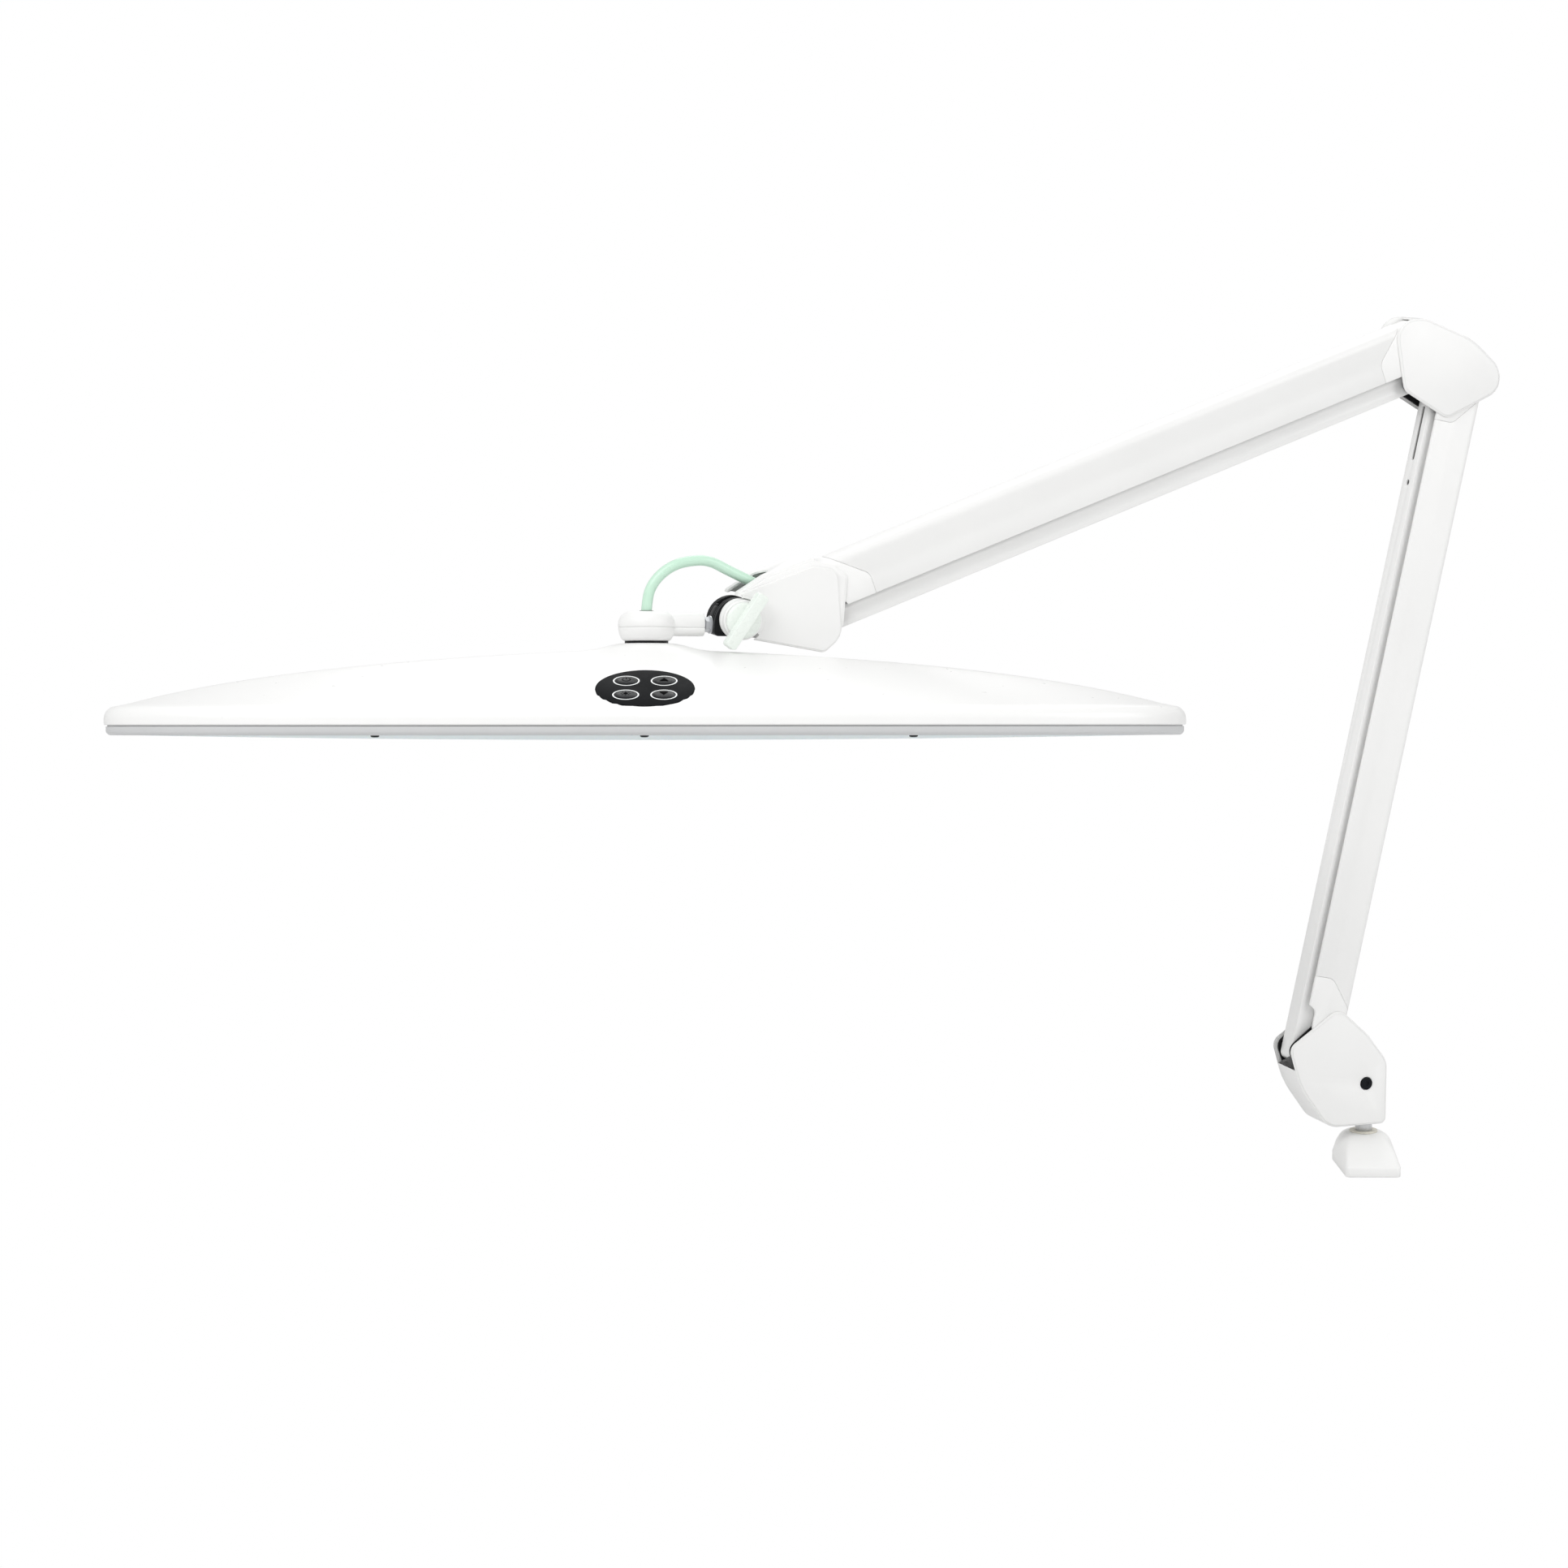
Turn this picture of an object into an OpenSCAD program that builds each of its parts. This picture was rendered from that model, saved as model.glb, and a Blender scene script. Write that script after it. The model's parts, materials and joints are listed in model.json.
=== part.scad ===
// Swing arm bench lamp with a long LED head.
// A foot carries a turning bracket, two spring-balanced parallelogram arms joined by an
// elbow, and a head that tilts, rolls and turns. The arm swings in the XZ plane turned
// by base_turn about the pivot pin; the foot's underside lies at Z = 0.

/* [Arms] */
// Distance between the pivots of each arm
arm_length = 422; // [320:1:520]
// Lean of the lower arm from upright, at rest
lower_lean = 12.1; // [4:0.1:16]
// Drop of the upper arm below level, at rest
upper_drop = 19.5; // [14:0.1:26]
// Turn of the whole arm about the pivot pin, at rest
base_turn = 19; // [-60:1:60]
// Distance between an arm's pivot and its link's pivot
pivot_pitch = 25; // [24.5:0.1:26]
// Slant of the pivot pair in the base and the elbow, from upright
pivot_slant = 47; // [44:0.5:50]
// Wall of the arm channels
channel_wall = 2; // [1.6:0.1:2.6]
// Depth of the channels behind the pivot line
channel_back = 12.5; // [12:0.1:13.5]
// Depth of the channels in front of the pivot line
channel_front = 17; // [15:0.5:19]
// Radius of the channels' outer corners
channel_round = 5; // [3:0.5:6]
// Width of the links
link_w = 14; // [12:0.5:16]
// Depth of the links
link_depth = 13; // [11:0.5:14]
// Wall of the links
link_wall = 1.5; // [1:0.1:2]

/* [Joints] */
// Thickness of the steel frame plates
plate_t = 2.2; // [1.6:0.1:3]
// Side gap between a link, a frame plate and an arm
side_gap = 0.4; // [0.3:0.05:0.6]
// Side gap between an arm and its covers
cover_gap = 0.3; // [0.3:0.05:0.8]
// Wall of the moulded covers
cover_t = 1.4; // [1.2:0.1:2]
// Easing of the covers' edges
cover_edge = 1.2; // [0.6:0.1:1.3]
// Radius of the arm axles
axle_r = 4; // [3:0.1:4.5]
// Radius of the link pins
link_pin_r = 2.5; // [2:0.1:3]
// Radial running clearance of every bearing
running = 0.05; // [0.03:0.01:0.08]
// Radius of the spring coils
spring_r = 4.2; // [3.5:0.1:4.8]
// Radius of the spring wire
wire_r = 0.7; // [0.5:0.1:0.9]

/* [Foot] */
// Width of the foot at its front edge
foot_front_w = 35; // [30:1:50]
// Reach of the foot in front of the pin
foot_reach = 48; // [42:1:70]
// Radius of the foot's round back
foot_r = 20; // [18:0.5:26]
// Height of the foot's side wall
foot_wall_h = 7; // [5:0.5:9]
// Height of the foot at the pin
foot_h = 19; // [16:0.5:24]
// Radius of the pin's journal in the foot
journal_r = 5; // [4:0.1:5.2]
// Radius of the pin above the foot
pin_r = 5.45; // [5.4:0.05:6.5]
// Radius of the foot's bolt holes
bolt_hole_r = 2.1; // [1.6:0.1:2.6]
// Distance between the foot's bolt holes
bolt_spacing = 46; // [40:1:50]

/* [Head] */
// Length of the lamp head
head_length = 644; // [500:2:700]
// Depth of the lamp head
head_depth = 190; // [170:2:220]
// Height of the head's crest above its rim
crest_h = 45.5; // [40:0.5:46]
// Wall of the shade
shade_wall = 2.4; // [1.8:0.1:3]
// Height of the bezel below the shade's rim
bezel_h = 6; // [5:0.5:8]
// Drop of the diffuser's crown below the rim
diffuser_drop = 9; // [8:0.5:12]
// Tilt of the head about the knuckle, at rest
head_tilt = 2.5; // [0:0.5:6]
// Roll of the head about the knuckle, at rest
head_roll = -7.3; // [-12:0.1:0]
// Turn of the head about its neck, at rest
head_turn = -18; // [-40:0.1:40]
// Radius of the keypad
keypad_r = 29; // [27:0.5:32]
// Radius of the push buttons
button_r = 7; // [5:0.5:8]
// Distance between the buttons
button_pitch = 22; // [20:0.5:24]
// Travel of the buttons
button_travel = 0.5; // [0.3:0.1:0.8]

/* [Knuckle] */
// Distance from the tilt axis to the neck axis
neck_reach = 55; // [52:1:64]
// Height of the roll axis above the underside of the neck's cup
neck_rise = 10; // [9:0.5:14]
// Radius of the yoke's ears
ear_r = 12.7; // [12:0.1:14]
// Thickness of the knuckle across its ears
yoke_w = 18; // [16:0.5:19]
// Thickness of the tongue between the ears
tongue_w = 6; // [5:0.5:8]
// Radius of the clamp bolt
clamp_r = 3; // [2.5:0.1:3.5]
// Length of the knob's wing
wing_length = 36; // [30:1:37]
// Lean of the knob's wing, at rest
wing_turn = 33; // [0:1:180]
// Radius of the head cable
cable_r = 3.2; // [2.5:0.1:3.3]

/* [Hidden] */
$fn = 64;
tiny = 0.01;
far = 200;

white = "#F4F4F2";
moulded_white = "#FBFBFA";
black_steel = "#1B1B1D";
zinc = "#C9CBCE";
nylon = "#E6E4DC";

// Half widths across the arm, from the link outwards
link_half = link_w/2;
frame_in = link_half + side_gap;
frame_out = frame_in + plate_t;
channel_in = frame_out + side_gap;
channel_half = channel_in + channel_wall;
cover_in = channel_half + cover_gap;
cover_out = cover_in + cover_t;

// Pivots in the plane of the arm, as [x, z]
function dir(a) = [sin(a), cos(a)];
function to_arm(v, turn) = [v[0]*cos(turn) - v[1]*sin(turn), v[0]*sin(turn) + v[1]*cos(turn)];
upper_turn = -90 - upper_drop;
base_main = [-32, 92.7];
base_link = base_main - pivot_pitch*dir(pivot_slant);
elbow_lower = base_main + arm_length*dir(lower_lean);
elbow_lower_link = base_link + arm_length*dir(lower_lean);
elbow_upper = elbow_lower + [-35.3, 23.1];
elbow_upper_link = elbow_upper - [0, pivot_pitch];
head_main = elbow_upper + arm_length*dir(upper_turn);
head_link = elbow_upper_link + arm_length*dir(upper_turn);
tilt_axis = head_main + [-52, -19];
roll_drop = 4.5;

// ---- Outlines: corners are [x, z, radius] ----
function unit(v) = v/norm(v);
function xy(c) = [c[0], c[1]];
function way(c, i, step) = unit(xy(c[(i + step + len(c)) % len(c)]) - xy(c[i]));
function half_angle(c, i) = acos(way(c, i, -1)*way(c, i, 1))/2;
function bisector(c, i) = unit(way(c, i, -1) + way(c, i, 1));
function swept(a, b) = let (d = b - a) d > 180 ? d - 360 : d < -180 ? d + 360 : d;
function corner_arc(c, i, steps) =
    let (r = c[i][2], h = half_angle(c, i), o = xy(c[i]) + bisector(c, i)*r/sin(h),
        from = xy(c[i]) + way(c, i, -1)*r/tan(h) - o,
        to = xy(c[i]) + way(c, i, 1)*r/tan(h) - o,
        a = atan2(from[1], from[0]), s = swept(a, atan2(to[1], to[0])))
    [for (k = [0:steps]) o + r*[cos(a + s*k/steps), sin(a + s*k/steps)]];
function rounded(c, steps = 8) =
    [for (i = [0:len(c) - 1]) each c[i][2] > 0 ? corner_arc(c, i, steps) : [xy(c[i])]];
function inset(c, d) = [for (i = [0:len(c) - 1])
    let (p = xy(c[i]) + bisector(c, i)*d/sin(half_angle(c, i)))
    [p[0], p[1], max(c[i][2] - d, 0.4)]];
function around(p, list) = [for (c = list) [p[0] + c[0], p[1] + c[1], c[2]]];

base_outline = concat(
    around(base_link, [[-10.4, 4.8, 7]]),
    around(base_main, [[6, 11.8, 9], [27.4, -7.5, 25]]),
    [[9.2, 67.5, 14], [9.2, 26.3, 4], [-32.5, 26.3, 16], [-53, 54.5, 60]]);
elbow_outline = concat(
    around(elbow_upper, [[-18.7, 13.8, 13], [3, 14, 20], [37, 0.3, 45]]),
    around(elbow_lower, [[21.5, 5.2, 14], [21, -9.4, 12]]),
    around(elbow_lower_link, [[2.5, -8.9, 7]]),
    around(elbow_upper_link, [[-10.8, -6, 8]]));
head_outline = concat(
    around(tilt_axis, [[-2.4, 15.8, 2], [45.5, 31.4, 6], [61.5, 28.4, 8]]),
    around(head_link, [[12.6, -6.5, 14], [0.8, -16, 5]]),
    around(tilt_axis, [[0.8, -11, 2]]));

head_crown = concat(
    around(tilt_axis, [[-2.4, 15.8, 1], [14.5, 25.9, 6], [45, 35.6, 6], [56.5, 32.2, 8], [69, 26.4, 6]]),
    around(head_link, [[14, -2, 4], [-30, -6, 1]]));

// ---- Shared construction ----
module in_arm() rotate([0, 0, base_turn]) children();
module at(p, turn = 0) in_arm() translate([p[0], 0, p[1]]) rotate([0, turn, 0]) children();
module in_lower() at(base_main, lower_lean) children();
module in_upper() at(elbow_upper, upper_turn) children();
module in_tilt() at(tilt_axis, head_tilt) children();
module in_roll() in_tilt() translate([0, 0, -roll_drop]) rotate([head_roll, 0, 0]) children();
module in_neck() in_roll() translate([-neck_reach, 0, -roll_height]) children();
module in_head() in_neck() rotate([0, 0, head_turn]) children();

// A flat shape in the XZ plane, thick from y0 to y1
module slab(y0, y1) rotate([90, 0, 0]) translate([0, 0, -y1]) linear_extrude(y1 - y0) children();
// A round pin or bore along Y at a point of the XZ plane
module cross(p, r, y0, y1) translate([p[0], y1, p[1]]) rotate([90, 0, 0]) cylinder(r = r, h = y1 - y0);
module both_sides() for (s = [0, 1]) mirror([0, s, 0]) children();

// A closed skin over rings of points, with a fan to a point at each end
module skin(rings, first, last) {
    m = len(rings[0]);
    points = concat([for (r = rings) each r], [first, last]);
    end = len(rings)*m;
    faces = concat(
        [for (i = [0:len(rings) - 2], j = [0:m - 1])
            let (a = i*m + j, b = i*m + (j + 1) % m) each [[a, b, b + m], [a, b + m, a + m]]],
        [for (j = [0:m - 1]) [end, (j + 1) % m, j]],
        [for (j = [0:m - 1]) [end - m + j, end - m + (j + 1) % m, end + 1]]);
    polyhedron(points, faces, convexity = 8);
}

// A round tube along a smooth curve through a few points
function smooth(p, i, t) =
    let (n = len(p) - 1, a = p[max(i - 1, 0)], b = p[i], c = p[min(i + 1, n)], d = p[min(i + 2, n)])
    0.5*(2*b + (c - a)*t + (2*a - 5*b + 4*c - d)*t*t + (3*b - a - 3*c + d)*t*t*t);
function route(p, per) = concat([for (i = [0:len(p) - 2], k = [0:per - 1]) smooth(p, i, k/per)],
    [p[len(p) - 1]]);
module tube(p, first, last, r, sides) {
    n = len(p) - 1;
    skin([for (i = [first:last])
        let (t = unit(p[min(i + 1, n)] - p[max(i - 1, 0)]), u = unit(cross_y(t)), v = vcross(t, u))
        [for (j = [0:sides - 1]) p[i] + r*(u*cos(360*j/sides) - v*sin(360*j/sides))]],
        p[first], p[last]);
}
function vcross(a, b) = [a[1]*b[2] - a[2]*b[1], a[2]*b[0] - a[0]*b[2], a[0]*b[1] - a[1]*b[0]];
function cross_y(t) = vcross([0, 1, 0], t);

// ---- Foot ----
bush_wall = 2;
bush_flange = 1;
pin_floor = 3;
bolt_y = -9;

foot_shoulder = 10;
foot_slope = 40;
function foot_corners(side, front) = let (r = foot_r - side, w = foot_front_w/2 - side, y = front - foot_reach)
    [[-w, y, 3], [w, y, 3], [r, 0, r/3], [0.72*r, r, 0.7*r], [-0.72*r, r, 0.7*r], [-r, 0, r/3]];

module foot_body() color(moulded_white) difference() {
    hull() {
        linear_extrude(foot_wall_h - 1) polygon(rounded(foot_corners(0, 0)));
        for (a = [0:15:90])
            linear_extrude(foot_wall_h + (foot_h - foot_wall_h)*sin(a))
                polygon(rounded(foot_corners(1 + (foot_shoulder - 1)*(1 - cos(a)), 1 + foot_slope*sqrt(1 - cos(a)))));
    }
    translate([0, 0, pin_floor]) cylinder(r = journal_r + bush_wall + running, h = far);
    for (s = [-1, 1]) translate([0, bolt_y + s*bolt_spacing/2, -1])
        cylinder(r = bolt_hole_r, h = foot_wall_h - 1.5);
}

module foot_bush() color(nylon) difference() {
    union() {
        translate([0, 0, pin_floor]) cylinder(r = journal_r + bush_wall, h = foot_h - pin_floor);
        translate([0, 0, foot_h]) cylinder(r = journal_r + bush_wall + 2, h = bush_flange);
    }
    cylinder(r = journal_r + running, h = far);
}

// ---- Base bracket ----
sleeve_top = 62;
sleeve_wall = 2.8;
frame_bottom = 28;
floor_left = 25;
base_screw = [-5.8, 53.8];
cover_screw_r = 4;
frame_ear = 9.3;

module pivot_pin() color(zinc) in_arm() {
    translate([0, 0, pin_floor + 0.3]) cylinder(r = journal_r, h = foot_h);
    translate([0, 0, foot_h + bush_flange]) cylinder(r = pin_r, h = sleeve_top - foot_h);
}

base_plate_outline = concat(
    around(base_link, [[-9.2, 4, 7]]),
    around(base_main, [[1, frame_ear, frame_ear - 0.5], [11, 1, 6]]),
    [[7.4, 64, 5], [7.4, frame_bottom, 2], [-26.5, frame_bottom, 8], [-50, 54, 25]]);

module base_frame() color(black_steel) in_arm() difference() {
    union() {
        both_sides() slab(frame_in, frame_out) polygon(rounded(base_plate_outline));
        translate([-floor_left, -frame_out, frame_bottom]) cube([floor_left + 6, 2*frame_out, plate_t]);
        translate([0, 0, frame_bottom + plate_t/2])
            cylinder(r = pin_r + sleeve_wall - 1, h = sleeve_top - frame_bottom - plate_t/2);
        both_sides() slab(pin_r, frame_in + tiny) translate([-6, frame_bottom]) square([12, 33]);
    }
    translate([0, 0, -1]) cylinder(r = pin_r + running, h = far);
    cross(base_main, axle_r + running, -far, far);
    cross(base_link, link_pin_r + running, -far, far);
    both_sides() cross(base_screw, 1.6, pin_r + 0.4, far);
}

// Both halves of a moulded cover, with an eased edge
module eased(corners) both_sides() {
    slab(-tiny, cover_out - cover_edge) polygon(rounded(corners));
    slab(-tiny, cover_out - cover_edge/3) polygon(rounded(inset(corners, cover_edge/3)));
    slab(-tiny, cover_out) polygon(rounded(inset(corners, cover_edge)));
}

// Open side of the base covers: everything above a line from the link to the arm's back
module base_opening() polygon([[-80, base_link[1] - 9.6], [base_link[0] + 4, base_link[1] - 9.6],
    [base_main[0], base_main[1] - 10], base_main + [27.4, -12], base_main + [40, 40], [-80, 200]]);

module base_cover_holes() {
    cylinder(r = pin_r + 1, h = frame_bottom + 2);
    cross(base_screw, 2.1, -far, far);
    both_sides() cross(base_screw, cover_screw_r + 0.2, cover_out - 0.8, far);
}
module base_cover_front() color(moulded_white) in_arm() difference() {
    eased(base_outline);
    slab(-cover_in, far) {
        polygon(rounded(inset(base_outline, cover_t)));
        base_opening();
    }
    translate([-far, cover_in, -far]) cube(2*far);
    base_cover_holes();
}
module base_cover_rear() color(moulded_white) in_arm() difference() {
    eased(base_outline);
    translate([-far, cover_in - 2*far, -far]) cube(2*far);
    base_cover_holes();
}
module base_cover_screws() color(black_steel) in_arm() both_sides() difference() {
    union() {
        cross(base_screw, 1.5, frame_in - 1, cover_out);
        cross(base_screw, cover_screw_r, cover_out - 0.8, cover_out + 0.6);
    }
    cross(base_screw, 1.6, cover_out - 0.2, far, $fn = 6);
}
module base_axles() color(zinc) in_arm() {
    cross(base_main, axle_r, -channel_half, channel_half);
    cross(base_link, link_pin_r, -frame_out, frame_out);
}

// ---- Arms ----
hub_r = 11.8;
end_reach = 30.5;
anchor_z = 150;
anchor_x = -2;
anchor_r = 2;
parting = 0.1;
channel_inner_round = 1.5;

module section(back, half, r) polygon(rounded([
    [-channel_front, -half, 0], [back, -half, r], [back, half, r], [-channel_front, half, 0]]));
module channel_section() difference() {
    section(channel_back, channel_half, channel_round);
    section(channel_back - channel_wall, channel_in, channel_inner_round);
}

// Side view of an arm's moulded end: a hub, a long lip beside the link and a slant to the back
seam_back = [channel_back + 0.5, 10, 1];
seam_turn = [-4.5, end_reach, 7];
end_outline = [[-hub_r, -hub_r, hub_r - 0.4], [hub_r, -hub_r, hub_r - 0.4], [hub_r, 3.6, 4],
    seam_back, seam_turn, [-channel_front - 1, end_reach, 1],
    [-channel_front - 1, 12.2, 1], [-hub_r, 8.5, 4]];
end_region = [[-60, -60, 1], [-60, end_reach, 1], seam_turn, seam_back + 2*(seam_back - seam_turn) + [0, 0, 13],
    [48, -60, 1]];

module channel() difference() {
    linear_extrude(arm_length) channel_section();
    for (s = [0, 1]) translate([0, 0, s*arm_length]) mirror([0, 0, s])
        slab(-far, far) polygon(rounded(inset(end_region, -parting)));
}

// Moulded end of an arm, flush with the channel, with a cheek each side of the pivot;
// a closed end keeps the channel's back over the pivot
module arm_end(closed) {
    difference() {
        intersection() {
            translate([0, 0, -hub_r - 1]) linear_extrude(60) channel_section();
            slab(-far, far) polygon(rounded(end_outline));
        }
        if (!closed) translate([4, -channel_in, -20]) cube([20, 2*channel_in, 40]);
        cross([0, 0], axle_r + bush_t + running, -far, far);
    }
    if (!closed) slab(-channel_in - tiny, channel_in + tiny)
        polygon([[-3.5, 26], [-3.5, 28.2], [4.5, 19.5], [4.5, 16.8]]);
}
bush_t = 1.2;

module bushes(z) both_sides() difference() {
    union() {
        cross([0, z], axle_r + bush_t, channel_in, channel_half);
        cross([0, z], axle_r + bush_t + 2, channel_in - side_gap + running, channel_in);
    }
    cross([0, z], axle_r + running, -far, far);
}

// Link: a channel with its web outwards and round ends on the pins
module link(marks) difference() {
    slab(-link_half, link_half) polygon(rounded([
        [-link_depth/2, -link_depth/2, 5], [link_depth/2, -link_depth/2, link_depth/2 - 0.5],
        [link_depth/2, arm_length + link_depth/2, link_depth/2 - 0.5],
        [-link_depth/2, arm_length + link_depth/2, 5]]));
    translate([-link_depth/2 + link_wall, -link_half + link_wall, -20])
        cube([link_depth, link_w - 2*link_wall, arm_length + 40]);
    for (z = [0, arm_length]) cross([0, z], link_pin_r + running, -far, far);
    if (marks) {
        translate([-link_depth, 0, arm_length - 36]) rotate([0, 90, 0]) cylinder(r = 1.6, h = link_depth);
        translate([-link_depth, -1.6, arm_length - 36]) cube([link_depth, 3.2, 33]);
        translate([-link_depth, 0, arm_length - 52]) rotate([0, 90, 0]) cylinder(r = 1.8, h = link_depth);
    }
}

// Tension spring from the link's pin to the anchor inside the channel
spring_turns = 26;
module spring(pin) {
    span = norm([anchor_x, anchor_z] - pin);
    lean = atan2(anchor_x - pin[0], anchor_z - pin[1]);
    eye = link_pin_r + 0.1 + wire_r;
    eye_top = anchor_r + 0.1 + wire_r;
    coil = span - eye - eye_top;
    pitch = coil/spring_turns;
    translate([pin[0], 0, pin[1]]) rotate([0, lean, 0]) {
        translate([0, 0, eye]) rotate_extrude($fn = 32) polygon(concat(
            [[spring_r - 2*wire_r, coil], [spring_r - 2*wire_r, 0]],
            [for (k = [0:spring_turns - 1]) each
                [[spring_r - wire_r/2, k*pitch], [spring_r, (k + 0.5)*pitch]]],
            [[spring_r - wire_r/2, coil]]));
        eyelet(0, eye, link_pin_r);
        translate([0, 0, span]) mirror([0, 0, 1]) eyelet(0, eye_top, anchor_r);
    }
}
module eyelet(z, eye, pin) {
    rotate([90, 0, 0]) rotate_extrude($fn = 48) translate([eye, 0]) circle(r = wire_r, $fn = 16);
    translate([-spring_r + wire_r/2, 0, 0]) translate([0, -wire_r/2, eye - wire_r/2])
        cube([2*spring_r - wire_r, wire_r, wire_r/2 + 0.6]);
}
module anchor() {
    cross([anchor_x, anchor_z], anchor_r, -channel_in, channel_in);
}

base_link_local = to_arm(base_link - base_main, lower_lean);
elbow_link_local = to_arm(elbow_upper_link - elbow_upper, upper_turn);

module lower_channel() color(white) in_lower() channel();
module lower_end_base() color(white) in_lower() arm_end(false);
module lower_end_elbow() color(white) in_lower() translate([0, 0, arm_length]) mirror([0, 0, 1])
    arm_end(false);
module lower_bushes() color(nylon) in_lower() for (z = [0, arm_length]) bushes(z);
module lower_spring() color(zinc) in_lower() spring(base_link_local);
module lower_spring_anchor() color(zinc) in_lower() anchor();
module lower_link() color(white) in_arm() translate([base_link[0], 0, base_link[1]])
    rotate([0, lower_lean, 0]) link(true);

module upper_channel() color(white) in_upper() channel();
module upper_end_elbow() color(white) in_upper() arm_end(true);
module upper_end_head() color(white) in_upper() translate([0, 0, arm_length]) mirror([0, 0, 1])
    arm_end(true);
module upper_bushes() color(nylon) in_upper() for (z = [0, arm_length]) bushes(z);
module upper_spring() color(zinc) in_upper() spring(elbow_link_local);
module upper_spring_anchor() color(zinc) in_upper() anchor();
module upper_link() color(white) in_arm() translate([elbow_upper_link[0], 0, elbow_upper_link[1]])
    rotate([0, upper_turn, 0]) link(false);

// ---- Elbow ----
elbow_plate_outline = concat(
    around(elbow_upper, [[-frame_ear, frame_ear, frame_ear - 0.4], [3, frame_ear, 6], [13, 1, 6]]),
    around(elbow_lower, [[frame_ear, frame_ear, frame_ear - 0.4], [frame_ear, -frame_ear, frame_ear - 0.4]]),
    around(elbow_lower_link, [[2.5, -7.7, 5]]),
    around(elbow_upper_link, [[-9.6, -5.2, 6]]));

module elbow_frame() color(black_steel) in_arm() difference() {
    union() {
        both_sides() slab(frame_in, frame_out) polygon(rounded(elbow_plate_outline));
        slab(-frame_in - tiny, frame_in + tiny) translate(elbow_brace - [4, 4]) square(8);
    }
    for (p = [elbow_upper, elbow_lower]) cross(p, axle_r + running, -far, far);
    for (p = [elbow_upper_link, elbow_lower_link]) cross(p, link_pin_r + running, -far, far);
}
elbow_brace = (elbow_upper + elbow_lower)/2;

// Open side of the elbow caps: left of the upper pivot and below the right corner
module elbow_opening() polygon([elbow_upper + [0, 40], elbow_upper + [0, 5], elbow_lower + [10, 1],
    elbow_lower + [60, 1], elbow_lower + [60, -80], elbow_lower + [-120, -80], elbow_upper + [-80, 40]]);

module elbow_half() difference() {
    eased(elbow_outline);
    slab(-far, cover_in) {
        polygon(rounded(inset(elbow_outline, cover_t)));
        elbow_opening();
    }
    translate([-3*far, -6*far, 0]) cube(6*far);
}
module elbow_cap_front() color(moulded_white) in_arm() mirror([0, 1, 0]) elbow_half();
module elbow_cap_rear() color(moulded_white) in_arm() elbow_half();
module elbow_axles() color(zinc) in_arm() {
    for (p = [elbow_upper, elbow_lower]) cross(p, axle_r, -channel_half, channel_half);
    for (p = [elbow_upper_link, elbow_lower_link]) cross(p, link_pin_r, -frame_out, frame_out);
}

// ---- Head bracket ----
yoke_left = 15;
yoke_bottom = 10.5;
yoke_web = 3.6;
washer_t = 0.4;
tongue_r = 9.5;
yoke_sweep = 19.2;
yoke_swing = 14.7;
slot_end = 21;
slot_r = 7;
crown_step = 0.4;

head_plate_outline = concat(
    around(head_main, [[-frame_ear, -2, 3], [-frame_ear, frame_ear, frame_ear - 0.4],
        [frame_ear, frame_ear, frame_ear - 0.4]]),
    around(head_link, [[8, -9, 5]]),
    around(tilt_axis, [[yoke_sweep + 1, -9.4, 2], [yoke_sweep + 1, 8, 2]]));

module head_frame() color(black_steel) in_arm() difference() {
    union() {
        both_sides() slab(frame_in, frame_out) polygon(rounded(head_plate_outline));
        slab(-frame_in - tiny, frame_in + tiny) polygon(rounded(around(tilt_axis,
            [[yoke_sweep + 1, -8, 1], [yoke_sweep + 1, 5, 1], [yoke_sweep + 9, 5, 1], [yoke_sweep + 9, -8, 1]])));
        slab(-tongue_w/2, tongue_w/2) polygon(rounded(around(tilt_axis,
            [[-tongue_r, -tongue_r, tongue_r - 0.4], [-tongue_r, tongue_r, tongue_r - 0.4],
            [6, tongue_r, 8], [yoke_sweep + 5, 5, 2], [yoke_sweep + 5, -8, 1], [4, -tongue_r, 8]])));
    }
    cross(head_main, axle_r + running, -far, far);
    cross(head_link, link_pin_r + running, -far, far);
    cross(tilt_axis, clamp_r + running, -far, far);
}

// Open side of the head cover: right of the pivot and along the bottom
module head_opening() polygon([head_main + [-5, 60], head_main + [60, 60], head_main + [60, -80],
    tilt_axis + [-40, -80], tilt_axis + [-40, -9.5], head_main + [-5, -30]]);
module cable_slot() translate([tilt_axis[0] + slot_end - slot_r, 0, tilt_axis[1]]) {
    cylinder(r = slot_r, h = far);
    translate([-far, -slot_r, 0]) cube([far, 2*slot_r, far]);
}
module head_cover() color(moulded_white) in_arm() difference() {
    union() {
        eased(head_outline);
        for (k = [0:2]) slab(-cover_in - crown_step*k, cover_in + crown_step*k)
            polygon(rounded(inset(head_crown, crown_step*k*3)));
    }
    slab(-cover_in, cover_in) {
        polygon(rounded(inset(head_outline, cover_t)));
        translate(head_main) circle(r = hub_r + 0.4);
        head_opening();
    }
    slab(cover_t + crown_step - cover_in, cover_in - cover_t - crown_step)
        polygon(rounded(inset(head_crown, cover_t)));
    cross(tilt_axis, yoke_swing, -far, far);
    cable_slot();
}
module head_axles() color(zinc) in_arm() {
    cross(head_main, axle_r, -channel_half, channel_half);
    cross(head_link, link_pin_r, -frame_out, frame_out);
}
module friction_washers() color(nylon) in_arm() both_sides() difference() {
    cross(tilt_axis, tongue_r - 0.5, tongue_w/2, tongue_w/2 + washer_t);
    cross(tilt_axis, clamp_r + running, -far, far);
}

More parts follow.
